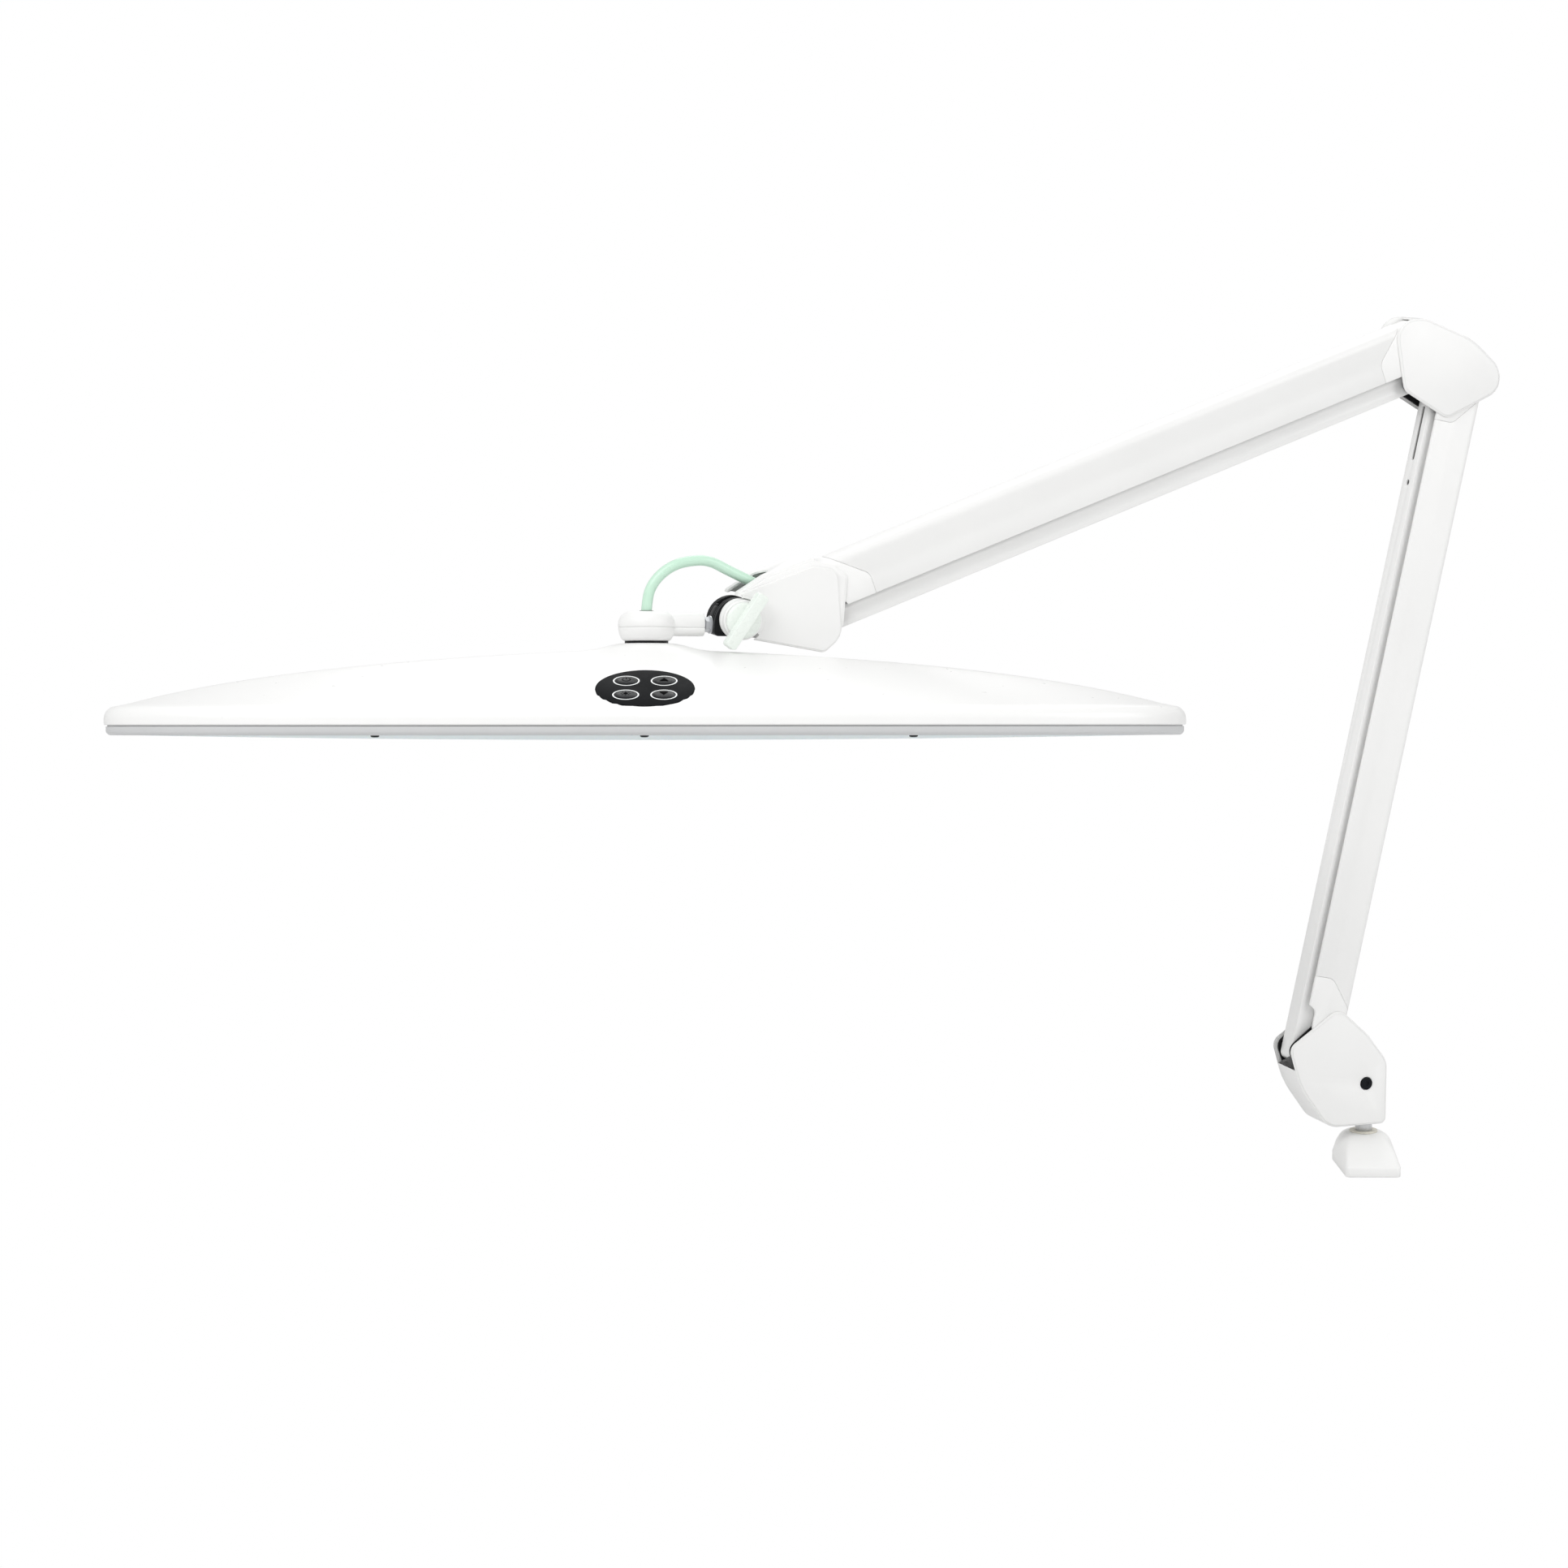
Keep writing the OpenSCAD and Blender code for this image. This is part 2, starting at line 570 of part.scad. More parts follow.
// ---- Cable from the neck to the head bracket, in the plane of the arm ----
cable_split = 6;
cable_route = [[-55.1, 0, -2.1], [-54.7, 1.1, 6.4], [-52.2, 2.1, 18], [-45.5, 2, 27], [-35.5, 1, 33], [-23, 0, 35],
    [-14, 0, 33.5], [-4, 0, 28.5], [10, 0, 21.5], [22, 0, 16], [31, 0, 12.5]];
cable_steps = 3;
function shifted(list) = [for (p = list) [tilt_axis[0] + p[0], p[1], tilt_axis[1] + p[2]]];
cable_points = route(shifted(cable_route), cable_steps);
cable_end = len(cable_points) - 1;

module cable_clamp() color(black_steel) in_arm() difference() {
    translate([tilt_axis[0] + 24, -frame_in + 0.1, tilt_axis[1] + 5]) cube([7, 2*frame_in - 0.2, 12]);
    tube(cable_points, 24, cable_end, cable_r + 0.1, 12);
}
module cable_upper() color("#B4E2C2") in_arm()
    tube(cable_points, cable_split*cable_steps, cable_end, cable_r, 12);
module cable_lower() color("#B4E2C2") in_arm()
    tube(cable_points, 0, cable_split*cable_steps, cable_r, 12);

// ---- Knuckle ----
spacer_r = 12.2;
spacer_out = 17;
knob_disc_r = 10.7;
roll_bolt_r = 2.5;
roll_gap = 5.6;

groove_w = 0.5;
yoke_outline = [[-yoke_left, -yoke_bottom, 2.5], [-yoke_left, ear_r, 15], [ear_r, ear_r, ear_r - 0.4],
    [ear_r, -yoke_bottom, 9]];

module tilt_yoke() color(black_steel) in_tilt() difference() {
    slab(-yoke_w/2, yoke_w/2) polygon(rounded(yoke_outline));
    translate([-yoke_left + yoke_web, -tongue_w/2 - washer_t - running, -far/2])
        cube([far, tongue_w + 2*(washer_t + running), far]);
    cross([0, 0], clamp_r + running, -far, far);
    translate([0, 0, -roll_drop]) along_roll(roll_bolt_r, -far, 0, 48);
    for (y = [-6.2, -3.9, 3.9, 6.2]) slab(y - groove_w/2, y + groove_w/2) difference() {
        translate([-far, -yoke_bottom + 3]) square(2*far);
        polygon(rounded(inset(yoke_outline, groove_w)));
    }
}
module clamp_bolt() color(zinc) in_tilt() {
    cross([0, 0], clamp_r, -spacer_out - 4, yoke_w/2 + 3);
    cross([0, 0], 5.5, yoke_w/2 + tiny, yoke_w/2 + 3.5, $fn = 6);
}
module knob_spacer() color(moulded_white) in_tilt() difference() {
    cross([0, 0], spacer_r, -spacer_out, -yoke_w/2);
    cross([0, 0], clamp_r + running, -far, far);
}
module along_roll(r, from, to, sides) translate([from, 0, 0]) rotate([0, 90, 0])
    cylinder(r = r, h = to - from, $fn = sides);
module roll_bolt() color(zinc) in_tilt() translate([0, 0, -roll_drop]) {
    along_roll(roll_bolt_r, -yoke_left - roll_gap - 9, yoke_web - yoke_left - 0.3, 48);
    along_roll(5.4, -yoke_left - 0.8, -yoke_left, 48);
    along_roll(4.6, -yoke_left - 3.8, -yoke_left - 0.8, 6);
}
module wing_knob() color("#EEF6F0") in_tilt() difference() {
    union() {
        cross([0, 0], knob_disc_r, -spacer_out - 3, -spacer_out - running);
        rotate([0, wing_turn, 0]) hull() {
            slab(-spacer_out - 4, -spacer_out - 2) polygon(rounded([[-4, -wing_length/2, 2.5],
                [4, -wing_length/2, 2.5], [4, wing_length/2, 2.5], [-4, wing_length/2, 2.5]]));
            slab(-spacer_out - 9, -spacer_out - 4) polygon(rounded([[-2.4, -wing_length/2 + 1, 2],
                [2.4, -wing_length/2 + 1, 2], [2.4, wing_length/2 - 1, 2], [-2.4, wing_length/2 - 1, 2]]));
        }
    }
    cross([0, 0], clamp_r + running, -spacer_out - 4.2, far);
}

// ---- Neck ----
boss_rise = 3;
boss_top = crest_h + boss_rise;
seat_gap = 1.5;
cup_bottom = boss_top + seat_gap;
roll_height = cup_bottom + neck_rise;
cup_seam = cup_bottom + 8;
dome_top = cup_bottom + 17.6;
dome_roof = dome_top - 4.2;
cup_r = 17;
stud_r = 5;
stud_bore = 3.5;
arm_half_w = 7.5;
arm_half_h = 7;
neck_arm_end = neck_reach - yoke_left - roll_gap;

module neck_arm(z0, z1) intersection() {
    translate([0, -arm_half_w, z0]) cube([neck_arm_end, 2*arm_half_w, z1 - z0]);
    translate([0, 0, roll_height]) rotate([90, 0, 90]) linear_extrude(neck_arm_end)
        polygon(rounded([[-arm_half_w, -arm_half_h, 4], [arm_half_w, -arm_half_h, 4],
            [arm_half_w, arm_half_h, 4], [-arm_half_w, arm_half_h, 4]]));
}
module roll_hole() translate([neck_arm_end - 9.5, 0, roll_height]) rotate([0, 90, 0])
    cylinder(r = roll_bolt_r + running, h = 30);

module neck_cup() color(moulded_white) in_neck() difference() {
    union() {
        rotate_extrude() polygon([[0, cup_bottom], [13.5, cup_bottom], [15, cup_bottom + 1.2],
            [16.3, cup_bottom + 4], [cup_r, cup_seam], [0, cup_seam]]);
        neck_arm(roll_height - arm_half_h, cup_seam);
    }
    translate([0, 0, cup_bottom + 3]) cylinder(r = cup_r - 2.5, h = far);
    translate([0, 0, cup_bottom - 1]) cylinder(r = stud_r + running, h = far);
    roll_hole();
}
module neck_dome() color(moulded_white) in_neck() difference() {
    union() {
        rotate_extrude() polygon([[0, cup_seam], [cup_r, cup_seam], [cup_r, cup_seam + 2.2],
            for (a = [0:15:90]) [cup_r - 7.4 + 7.4*cos(a), dome_top - 7.4 + 7.4*sin(a)], [0, dome_top]]);
        neck_arm(cup_seam, roll_height + arm_half_h);
    }
    translate([0, 0, cup_seam - 1]) cylinder(r = cup_r - 2.5, h = dome_roof - cup_seam + 1);
    translate([0, 0, cup_seam]) cylinder(r = cable_r + 1.2 + running, h = far);
    roll_hole();
}
module swivel_washer() color("#3A3A3C") in_neck() translate([0, 0, boss_top]) difference() {
    cylinder(r = 13, h = cup_bottom - boss_top);
    translate([0, 0, -1]) cylinder(r = stud_r + running, h = far);
}
module cable_gland() color(black_steel) in_neck() difference() {
    union() {
        translate([0, 0, dome_roof - 2.7]) cylinder(r = cable_r + 1.2, h = dome_top - dome_roof + 3.1);
        translate([0, 0, dome_roof - 2.7]) cylinder(r = cable_r + 3, h = 2.65);
    }
    translate([0, 0, -1]) cylinder(r = cable_r + 0.7, h = far);
}

// ---- Head ----
boss_r = 14.5;
plan_power = 2.4;
skirt_h = 3.5;
rim_fillet = 8;
fillet_end = 66;
crest_mid_x = 234/322*head_length/2;
crest_mid_h = crest_h - 7.7;
crest_end_h = 8.5;
ridge_round = 0.05;
fairing_r = 36;
segments = 60;
rim_a = head_length/2;
rim_b = head_depth/2;

function signed(v, p) = sign(v)*pow(abs(v), p);
function oval(a, b, z) = [for (j = [0:segments - 1]) let (t = 360*(j + 0.5)/segments)
    [a*signed(cos(t), 2/plan_power), b*signed(sin(t), 2/plan_power), z]];
function crest(x) = let (k = rim_a - 2*crest_mid_x,
    t = (-2*crest_mid_x + sqrt(4*crest_mid_x*crest_mid_x + 4*k*min(abs(x), rim_a)))/(2*k))
    (1 - t)*(1 - t)*crest_h + 2*t*(1 - t)*crest_mid_h + t*t*crest_end_h;
function ridge(t) = (norm([min(t, 1), ridge_round]) - ridge_round)/(norm([1, ridge_round]) - ridge_round);
function roof(a, b, s, base, drop) = [for (p = oval(a*s, b*s, 0))
    let (q = pow(abs(p[0])/a, plan_power), t = pow(max(pow(s, plan_power) - q, 0)/max(1 - q, 0.001), 1/plan_power))
    [p[0], p[1], base + max(crest(p[0]) - drop - base, 0)*(1 - ridge(t))]];
roof_steps = [0.08, 0.25, 0.42, 0.58, 0.72, 0.85, 0.94, 1];
function shade_side(wall) =
    let (f = rim_fillet, e = f*(1 - cos(fillet_end)) + wall, base = skirt_h + f*sin(fillet_end) - wall)
    concat([for (s = roof_steps) roof(rim_a - e, rim_b - e, s, base, wall)],
        [for (a = [40, 20, 0]) let (d = f*(1 - cos(a)) + wall) oval(rim_a - d, rim_b - d, skirt_h + f*sin(a) - wall)],
        [oval(rim_a - wall, rim_b - wall, 0)]);
function reversed(list) = [for (i = [len(list) - 1:-1:0]) list[i]];

key_y = -64.2;
key_z = 21.3;
key_tilt = 22;
key_seat = 1.6;
key_board_t = 1.6;
module at_key() translate([0, key_y, key_z]) rotate([key_tilt, 0, 0]) children();

screw_x = [-155, 0, 155];
screw_inset = 7;
function edge_y(x, d) = (rim_b - d)*pow(1 - pow(abs(x)/(rim_a - d), plan_power), 1/plan_power);
module at_screws() for (x = screw_x, s = [-1, 1]) translate([x, s*edge_y(x, screw_inset), 0]) children();

// Soft rise of the roof to the flat seat under the neck
fillet_in = rim_fillet*(1 - cos(fillet_end));
fillet_up = skirt_h + rim_fillet*sin(fillet_end);
function roof_at(x, y) = let (b = (rim_b - fillet_in)*pow(1 - pow(abs(x)/(rim_a - fillet_in), plan_power), 1/plan_power))
    fillet_up + (crest(x) - fillet_up)*(1 - ridge(abs(y)/b));
function fairing_ring(r, w, sink) = [for (j = [0:segments - 1])
    let (x = r*cos(360*j/segments), y = r*sin(360*j/segments), z = roof_at(x, y) - sink) [x, y, z + (boss_top - z)*w]];
module neck_fairing() {
    up = [for (k = [0:6]) let (u = k/6) fairing_ring(boss_r + (fairing_r - boss_r)*u, 1 - u*u*(3 - 2*u), 0.4*u)];
    skin(concat(up, [fairing_ring(fairing_r - 2, 0, 1.6), fairing_ring(boss_r, 0, 1.6)]),
        [0, 0, boss_top], [0, 0, crest_h - 1.6]);
}

module shade() color(white) in_head() difference() {
    union() {
        skin(concat(shade_side(0), reversed(shade_side(shade_wall))), [0, 0, crest_h], [0, 0, crest_h - shade_wall]);
        neck_fairing();
        translate([0, 0, crest_h - 6]) cylinder(r = 11, h = 5);
        at_key() translate([0, 0, -key_seat - 2.4]) cylinder(r = keypad_r + 1.5, h = 2.4);
        at_screws() cylinder(r = 3.4, h = 9);
    }
    cylinder(r = stud_r + running, h = far);
    at_key() translate([0, 0, -key_seat]) cylinder(r = keypad_r + 0.2, h = 20);
    at_key() translate([0, 0, -key_seat - 8]) cylinder(r = keypad_r - 3, h = 20);
    at_screws() translate([0, 0, -1]) cylinder(r = 1.3, h = 8);
}

bezel_w = 14;
lip_h = 1.5;
bezel_inset = 1.2;
function flat(list) = [for (p = list) [p[0], p[1]]];
module bezel() color("#D9DADB") in_head() difference() {
    translate([0, 0, -bezel_h]) linear_extrude(bezel_h) polygon(flat(oval(rim_a - bezel_inset, rim_b - bezel_inset, 0)));
    translate([0, 0, -far]) linear_extrude(2*far) polygon(flat(oval(rim_a - bezel_w, rim_b - bezel_w, 0)));
    translate([0, 0, -bezel_h + lip_h]) linear_extrude(far) polygon(flat(oval(rim_a - bezel_w + 3, rim_b - bezel_w + 3, 0)));
    at_screws() translate([0, 0, -far/2]) cylinder(r = 1.7, h = far);
}

diffuser_t = 1.5;
function lens(a, b, s, edge, depth) = oval(a*s, b*s, edge - depth*(1 - s*s));
module diffuser() color("#FAFAF6") in_head() {
    a = rim_a - bezel_w - 0.3;
    b = rim_b - bezel_w - 0.3;
    top = -bezel_h + lip_h + 1.2;
    depth = diffuser_drop - bezel_h;
    skin(concat(
        [for (s = [0.2, 0.6, 1]) lens(a - 2, b - 2, s, top - diffuser_t, depth)],
        [oval(a - 2, b - 2, top), oval(a + 2.8, b + 2.8, top), oval(a + 2.8, b + 2.8, top - 1.2), oval(a, b, top - 1.2)],
        [for (s = [1, 0.85, 0.6, 0.3]) lens(a, b, s, -bezel_h, depth)]),
        [0, 0, top - diffuser_t - depth], [0, 0, -bezel_h - depth]);
}

tray_t = 1.5;
board_t = 1.6;
board_w = 22;
board_y = [-45, 0, 45];
board_half = 230;
led_pitch = 20;
module led_tray() color("#D6D8DA") in_head() difference() {
    linear_extrude(tray_t) polygon(flat(oval(rim_a - bezel_w + 2, rim_b - bezel_w + 2, 0)));
    translate([0, 0, -1]) cylinder(r = 9, h = 10);
}
module led_boards() color("#F2F2EE") in_head() for (y = board_y, s = [0, 1]) mirror([s, 0, 0])
    translate([12, y - board_w/2, -board_t]) cube([board_half - 12, board_w, board_t]);
module leds() color("#F3E7A0") in_head() for (y = board_y, s = [0, 1], k = [0:10]) mirror([s, 0, 0])
    translate([22 + led_pitch*k - 1.75, y - 1.75, -board_t - 0.9]) cube([3.5, 3.5, 0.9]);
module driver_box() color("#B9BCBE") in_head() translate([-150, -20, tray_t]) difference() {
    cube([100, 40, 18]);
    for (y = [12, 28]) translate([95, y, 9]) rotate([0, 90, 0]) cylinder(r = 2.5, h = 10);
}

module keypad_panel() color("#202123") in_head() at_key() difference() {
    translate([0, 0, -key_seat]) cylinder(r = keypad_r, h = key_seat + 0.8);
    for (x = [-1, 1], y = [-1, 1]) translate([x, y, 0]*button_pitch/2 - [0, 0, 10]) cylinder(r = button_r + 0.3, h = 20);
}
module keypad_board() color("#1E6B3C") in_head() at_key() translate([0, 0, -key_seat - key_board_t - button_travel - 0.3]) {
    cylinder(r = keypad_r - 3.4, h = key_board_t);
    for (a = [0:90:270]) rotate(a) translate([keypad_r - 7, 0, key_board_t - tiny]) cylinder(r = 2, h = button_travel + 0.3 + tiny);
}
module button(x, y) color("#26272A") in_head() at_key() translate([x*button_pitch/2, y*button_pitch/2, -key_seat]) {
    cylinder(r = button_r, h = key_seat + 1.1);
    translate([0, 0, key_seat + 1.1]) intersection() {
        translate([0, 0, -24.5]) sphere(r = 25.1);
        cylinder(r = button_r, h = 3);
    }
}
module button_power() button(-1, 1);
module button_up() button(1, 1);
module button_light() button(-1, -1);
module button_down() button(1, -1);

module neck_stud() color(zinc) in_head() difference() {
    union() {
        translate([0, 0, crest_h - 8]) cylinder(r = stud_r, h = 22);
        translate([0, 0, crest_h - 9]) cylinder(r = 9, h = 3, $fn = 6);
    }
    cylinder(r = stud_bore, h = far);
}
module neck_nut() color(zinc) in_head() translate([0, 0, cup_bottom + 3 + running]) difference() {
    cylinder(r = 8, h = 4, $fn = 6);
    translate([0, 0, -1]) cylinder(r = stud_r + running, h = 10);
}
module bezel_screws() color("#4A4A4C") in_head() at_screws() {
    translate([0, 0, -bezel_h]) cylinder(r = 1.2, h = bezel_h + 6);
    translate([0, 0, -bezel_h - 1.2]) cylinder(r = 2.6, h = 1.2);
}

foot_body();
foot_bush();
pivot_pin();
base_frame();
base_cover_front();
base_cover_rear();
base_cover_screws();
base_axles();
lower_channel();
lower_end_base();
lower_end_elbow();
lower_bushes();
lower_spring();
lower_spring_anchor();
lower_link();
elbow_frame();
elbow_cap_front();
elbow_cap_rear();
elbow_axles();
upper_channel();
upper_end_elbow();
upper_end_head();
upper_bushes();
upper_spring();
upper_spring_anchor();
upper_link();
head_frame();
head_cover();
head_axles();
friction_washers();
cable_clamp();
cable_upper();
tilt_yoke();
clamp_bolt();
knob_spacer();
roll_bolt();
wing_knob();
neck_cup();
neck_dome();
swivel_washer();
cable_gland();
cable_lower();
shade();
bezel();
diffuser();
led_tray();
led_boards();
leds();
driver_box();
keypad_panel();
keypad_board();
neck_stud();
neck_nut();
bezel_screws();
button_power();
button_up();
button_light();
button_down();
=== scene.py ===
import json
from math import atan2, cos, pi, radians, sin, sqrt

import bmesh
import bpy
from mathutils import Matrix, Vector

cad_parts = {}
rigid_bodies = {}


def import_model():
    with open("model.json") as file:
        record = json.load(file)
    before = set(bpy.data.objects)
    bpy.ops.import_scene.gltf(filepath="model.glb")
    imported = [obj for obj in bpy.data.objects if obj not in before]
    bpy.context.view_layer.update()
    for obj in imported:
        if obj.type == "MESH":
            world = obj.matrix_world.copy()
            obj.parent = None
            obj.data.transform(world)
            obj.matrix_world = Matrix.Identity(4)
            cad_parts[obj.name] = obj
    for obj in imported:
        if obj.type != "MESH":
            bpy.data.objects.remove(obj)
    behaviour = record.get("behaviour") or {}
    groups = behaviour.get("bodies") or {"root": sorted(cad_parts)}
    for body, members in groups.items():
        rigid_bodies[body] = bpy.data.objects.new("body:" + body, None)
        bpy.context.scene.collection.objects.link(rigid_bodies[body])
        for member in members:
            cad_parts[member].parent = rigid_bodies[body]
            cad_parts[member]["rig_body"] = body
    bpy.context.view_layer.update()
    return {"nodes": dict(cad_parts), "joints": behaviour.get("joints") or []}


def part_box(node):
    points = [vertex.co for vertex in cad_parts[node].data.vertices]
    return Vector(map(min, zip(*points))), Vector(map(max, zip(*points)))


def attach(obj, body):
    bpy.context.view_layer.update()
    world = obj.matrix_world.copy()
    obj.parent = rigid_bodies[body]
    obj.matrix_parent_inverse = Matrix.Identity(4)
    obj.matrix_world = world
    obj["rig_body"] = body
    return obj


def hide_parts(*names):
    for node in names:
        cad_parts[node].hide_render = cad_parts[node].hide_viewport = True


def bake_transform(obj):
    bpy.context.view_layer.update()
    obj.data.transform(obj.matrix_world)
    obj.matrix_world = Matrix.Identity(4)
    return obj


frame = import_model()
print("frame loaded")

mm = 0.001
joints = {j["name"]: j for j in frame["joints"]}


def pivot(joint):
    return Vector(joints[joint]["pos_m"])


def axisOf(joint):
    return Vector(joints[joint]["axis"])


def placed(origin, xAxis, yAxis, zAxis):
    # millimetres on the given axes, to metres in the frame
    turn = Matrix((xAxis, yAxis, zAxis)).transposed().to_4x4()
    return Matrix.Translation(origin) @ turn @ Matrix.Scale(mm, 4)


up = Vector((0, 0, 1))
armSide = axisOf("lower_swing")
armAhead = armSide.cross(up)


def onArm(joint):
    return placed(pivot(joint), armAhead, armSide, up)


def alongArm(start, end):
    zAxis = (pivot(end) - pivot(start)).normalized()
    return placed(pivot(start), armSide.cross(zAxis), armSide, zAxis)


lowerPlace = alongArm("lower_swing", "elbow_level")
upperPlace = alongArm("upper_swing", "head_level")
rollAxis = axisOf("head_roll")
tiltPlace = placed(pivot("head_tilt"), rollAxis, armSide, rollAxis.cross(armSide))
neckAxis = axisOf("neck_turn")
neckJointHeight = 49
neckFoot = pivot("neck_turn") - neckAxis * neckJointHeight * mm
keyAxis = -axisOf("power_press")
headBack = -(keyAxis - keyAxis.dot(neckAxis) * neckAxis).normalized()
headPlace = placed(neckFoot, headBack.cross(neckAxis), headBack, neckAxis)


def srgb(code):
    # "#RRGGBB" to the linear colour that a socket takes
    parts = [int(code[i:i + 2], 16) / 255 for i in (1, 3, 5)]
    return [c / 12.92 if c <= 0.04045 else ((c + 0.055) / 1.055) ** 2.4 for c in parts] + [1]


def addNode(tree, kind, settings, links=None):
    node = tree.nodes.new(kind)
    for name, value in settings.items():
        if name in node.inputs:
            node.inputs[name].default_value = value
        else:
            setattr(node, name, value)
    for name, source in (links or {}).items():
        tree.links.new(source, node.inputs[name])
    return node


def surface(name, colour, drift, roughness, grain, depth, stretch=(1, 1, 1), patch=40, spread=0.06,
            **sockets):
    # the colour drifts in soft patches; grain is the size of the surface's own texture in mm
    material = bpy.data.materials.new(name)
    material.use_nodes = True
    tree = material.node_tree
    shader = tree.nodes["Principled BSDF"]
    for socket, value in sockets.items():
        shader.inputs[socket.replace("_", " ")].default_value = value
    place = addNode(tree, "ShaderNodeTexCoord", {})
    turned = addNode(tree, "ShaderNodeMapping", {"Scale": stretch}, {"Vector": place.outputs["Object"]})
    patches = addNode(tree, "ShaderNodeTexNoise", {"Scale": 1000 / patch, "Detail": 3.0},
                      {"Vector": place.outputs["Object"]})
    fine = addNode(tree, "ShaderNodeTexNoise", {"Scale": 1000 / grain, "Detail": 4.0},
                   {"Vector": turned.outputs["Vector"]})
    tint = addNode(tree, "ShaderNodeMix", {"data_type": "RGBA"}, {"Factor": patches.outputs["Fac"]})
    tint.inputs[6].default_value = srgb(colour)
    tint.inputs[7].default_value = srgb(drift)
    dull = addNode(tree, "ShaderNodeMapRange", {"To Min": roughness - spread, "To Max": roughness + spread},
                   {"Value": fine.outputs["Fac"]})
    bump = addNode(tree, "ShaderNodeBump", {"Strength": 0.35, "Distance": depth * mm},
                   {"Height": fine.outputs["Fac"]})
    tree.links.new(tint.outputs[2], shader.inputs["Base Color"])
    tree.links.new(dull.outputs["Result"], shader.inputs["Roughness"])
    tree.links.new(bump.outputs["Normal"], shader.inputs["Normal"])
    return material


# Polyester powder coat on steel: white with a faint orange peel
powderCoat = surface("polyesterPowderCoat", "#F3F3F2", "#EEEEED", 0.38, 1.6, 0.05, IOR=1.5)
# ABS from a fine spark-eroded mould: white, satin, almost even
satinAbs = surface("satinMouldedAbs", "#F7F7F6", "#F2F2F1", 0.45, 0.7, 0.03, IOR=1.53)
# ABS from a polished mould: the shade, with a soft even gloss
glossAbs = surface("polishedMouldedAbs", "#F7F7F6", "#F3F3F2", 0.30, 6, 0.02, patch=90, IOR=1.53)
# ABS in the bezel's pale grey
greyAbs = surface("greyMouldedAbs", "#D1D2D3", "#CACBCC", 0.42, 0.7, 0.03, IOR=1.53)
# Opal acrylic: milky, smooth, lit through by the room
opalAcrylic = surface("opalAcrylic", "#F4F4F1", "#F0F0EC", 0.35, 3, 0.01, patch=120,
                      IOR=1.49, Subsurface_Weight=0.3)
# Glossy ABS of the wing knob: white with a green cast from its resin
knobAbs = surface("mintWhiteAbs", "#F3F8F3", "#ECF4ED", 0.28, 3, 0.02, IOR=1.53)
# Black cathodic dip coat on steel plate
dipCoat = surface("blackDipCoat", "#0E0E10", "#151517", 0.42, 1.0, 0.04, IOR=1.2)
# Glass-filled black nylon: the knuckle's dull, slightly streaked moulding
filledNylon = surface("glassFilledNylon", "#0E0F10", "#1A1B1D", 0.36, 0.9, 0.06, patch=8, IOR=1.25)
# Natural nylon: cream, waxy
waxyNylon = surface("naturalNylon", "#E4E1D6", "#DAD6C8", 0.48, 1.2, 0.03, IOR=1.53)
# Bright zinc plate over turned steel
zincPlate = surface("brightZincPlate", "#E2E3E5", "#D2D4D8", 0.36, 1.2, 0.03, stretch=(1, 1, 8), Metallic=0.7)
# Black oxide on screws
blackOxide = surface("blackOxideSteel", "#1F2022", "#303236", 0.36, 0.8, 0.03, Metallic=1.0)
# Drawn spring wire
springWire = surface("drawnSpringWire", "#A9ACB1", "#8F9297", 0.32, 1.0, 0.03, Metallic=1.0)
# PVC cable jacket, pale mint and slightly waxy
mintPvc = surface("mintPvcJacket", "#D2F0DD", "#C4E8D1", 0.3, 2.2, 0.03, IOR=1.52)
# Rolled aluminium sheet
rolledSheet = surface("rolledAluminium", "#D4D6D8", "#C8CBCE", 0.34, 0.8, 0.02, stretch=(0.05, 1, 1),
                      Metallic=1.0)
# White solder mask over glass-epoxy board
whiteMask = surface("whiteSolderMask", "#F1F1EC", "#E9E9E2", 0.35, 1.5, 0.02, IOR=1.55)
# Yellow phosphor in clear silicone
phosphor = surface("yellowPhosphor", "#F0DB84", "#E8CE68", 0.3, 0.6, 0.02, IOR=1.42)
# Green solder mask
greenMask = surface("greenSolderMask", "#1E6B3C", "#1A5C34", 0.3, 1.5, 0.02, IOR=1.55)
# Black polyester overlay of the keypad, hard-coated and smooth
overlayFilm = surface("blackPolyesterOverlay", "#17181A", "#1C1D1F", 0.34, 2.5, 0.02, IOR=1.05)
# The same film formed into shallow domes over the keys: smoother and more reflective, and painted a lighter
# colour than the flat film as a painted highlight where the domes catch more light
domedFilmPaintedSheen = surface("domedOverlayPaintedSheen", "#1E1F21", "#242527", 0.26, 2.5, 0.02, IOR=1.16)
# Black symbols printed on the key domes
blackInk = surface("blackScreenInk", "#040405", "#070708", 0.45, 0.5, 0.01, IOR=1.03)
# Screen-printed white ink
whiteInk = surface("screenPrintedInk", "#F6F8F8", "#EFF2F2", 0.5, 0.5, 0.01, IOR=1.5)
print("materials made")


def finishPiece(name, bm, place, material, body, replaced=(), angle=35):
    if place is not None:
        bmesh.ops.transform(bm, matrix=place, verts=bm.verts)
    mesh = bpy.data.meshes.new(name)
    bm.to_mesh(mesh)
    bm.free()
    for face in mesh.polygons:
        face.use_smooth = True
    mesh.set_sharp_from_angle(angle=radians(angle))
    piece = bpy.data.objects.new(name, mesh)
    bpy.context.scene.collection.objects.link(piece)
    mesh.materials.append(material)
    if body:
        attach(piece, body)
    if replaced:
        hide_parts(*replaced)
    return piece


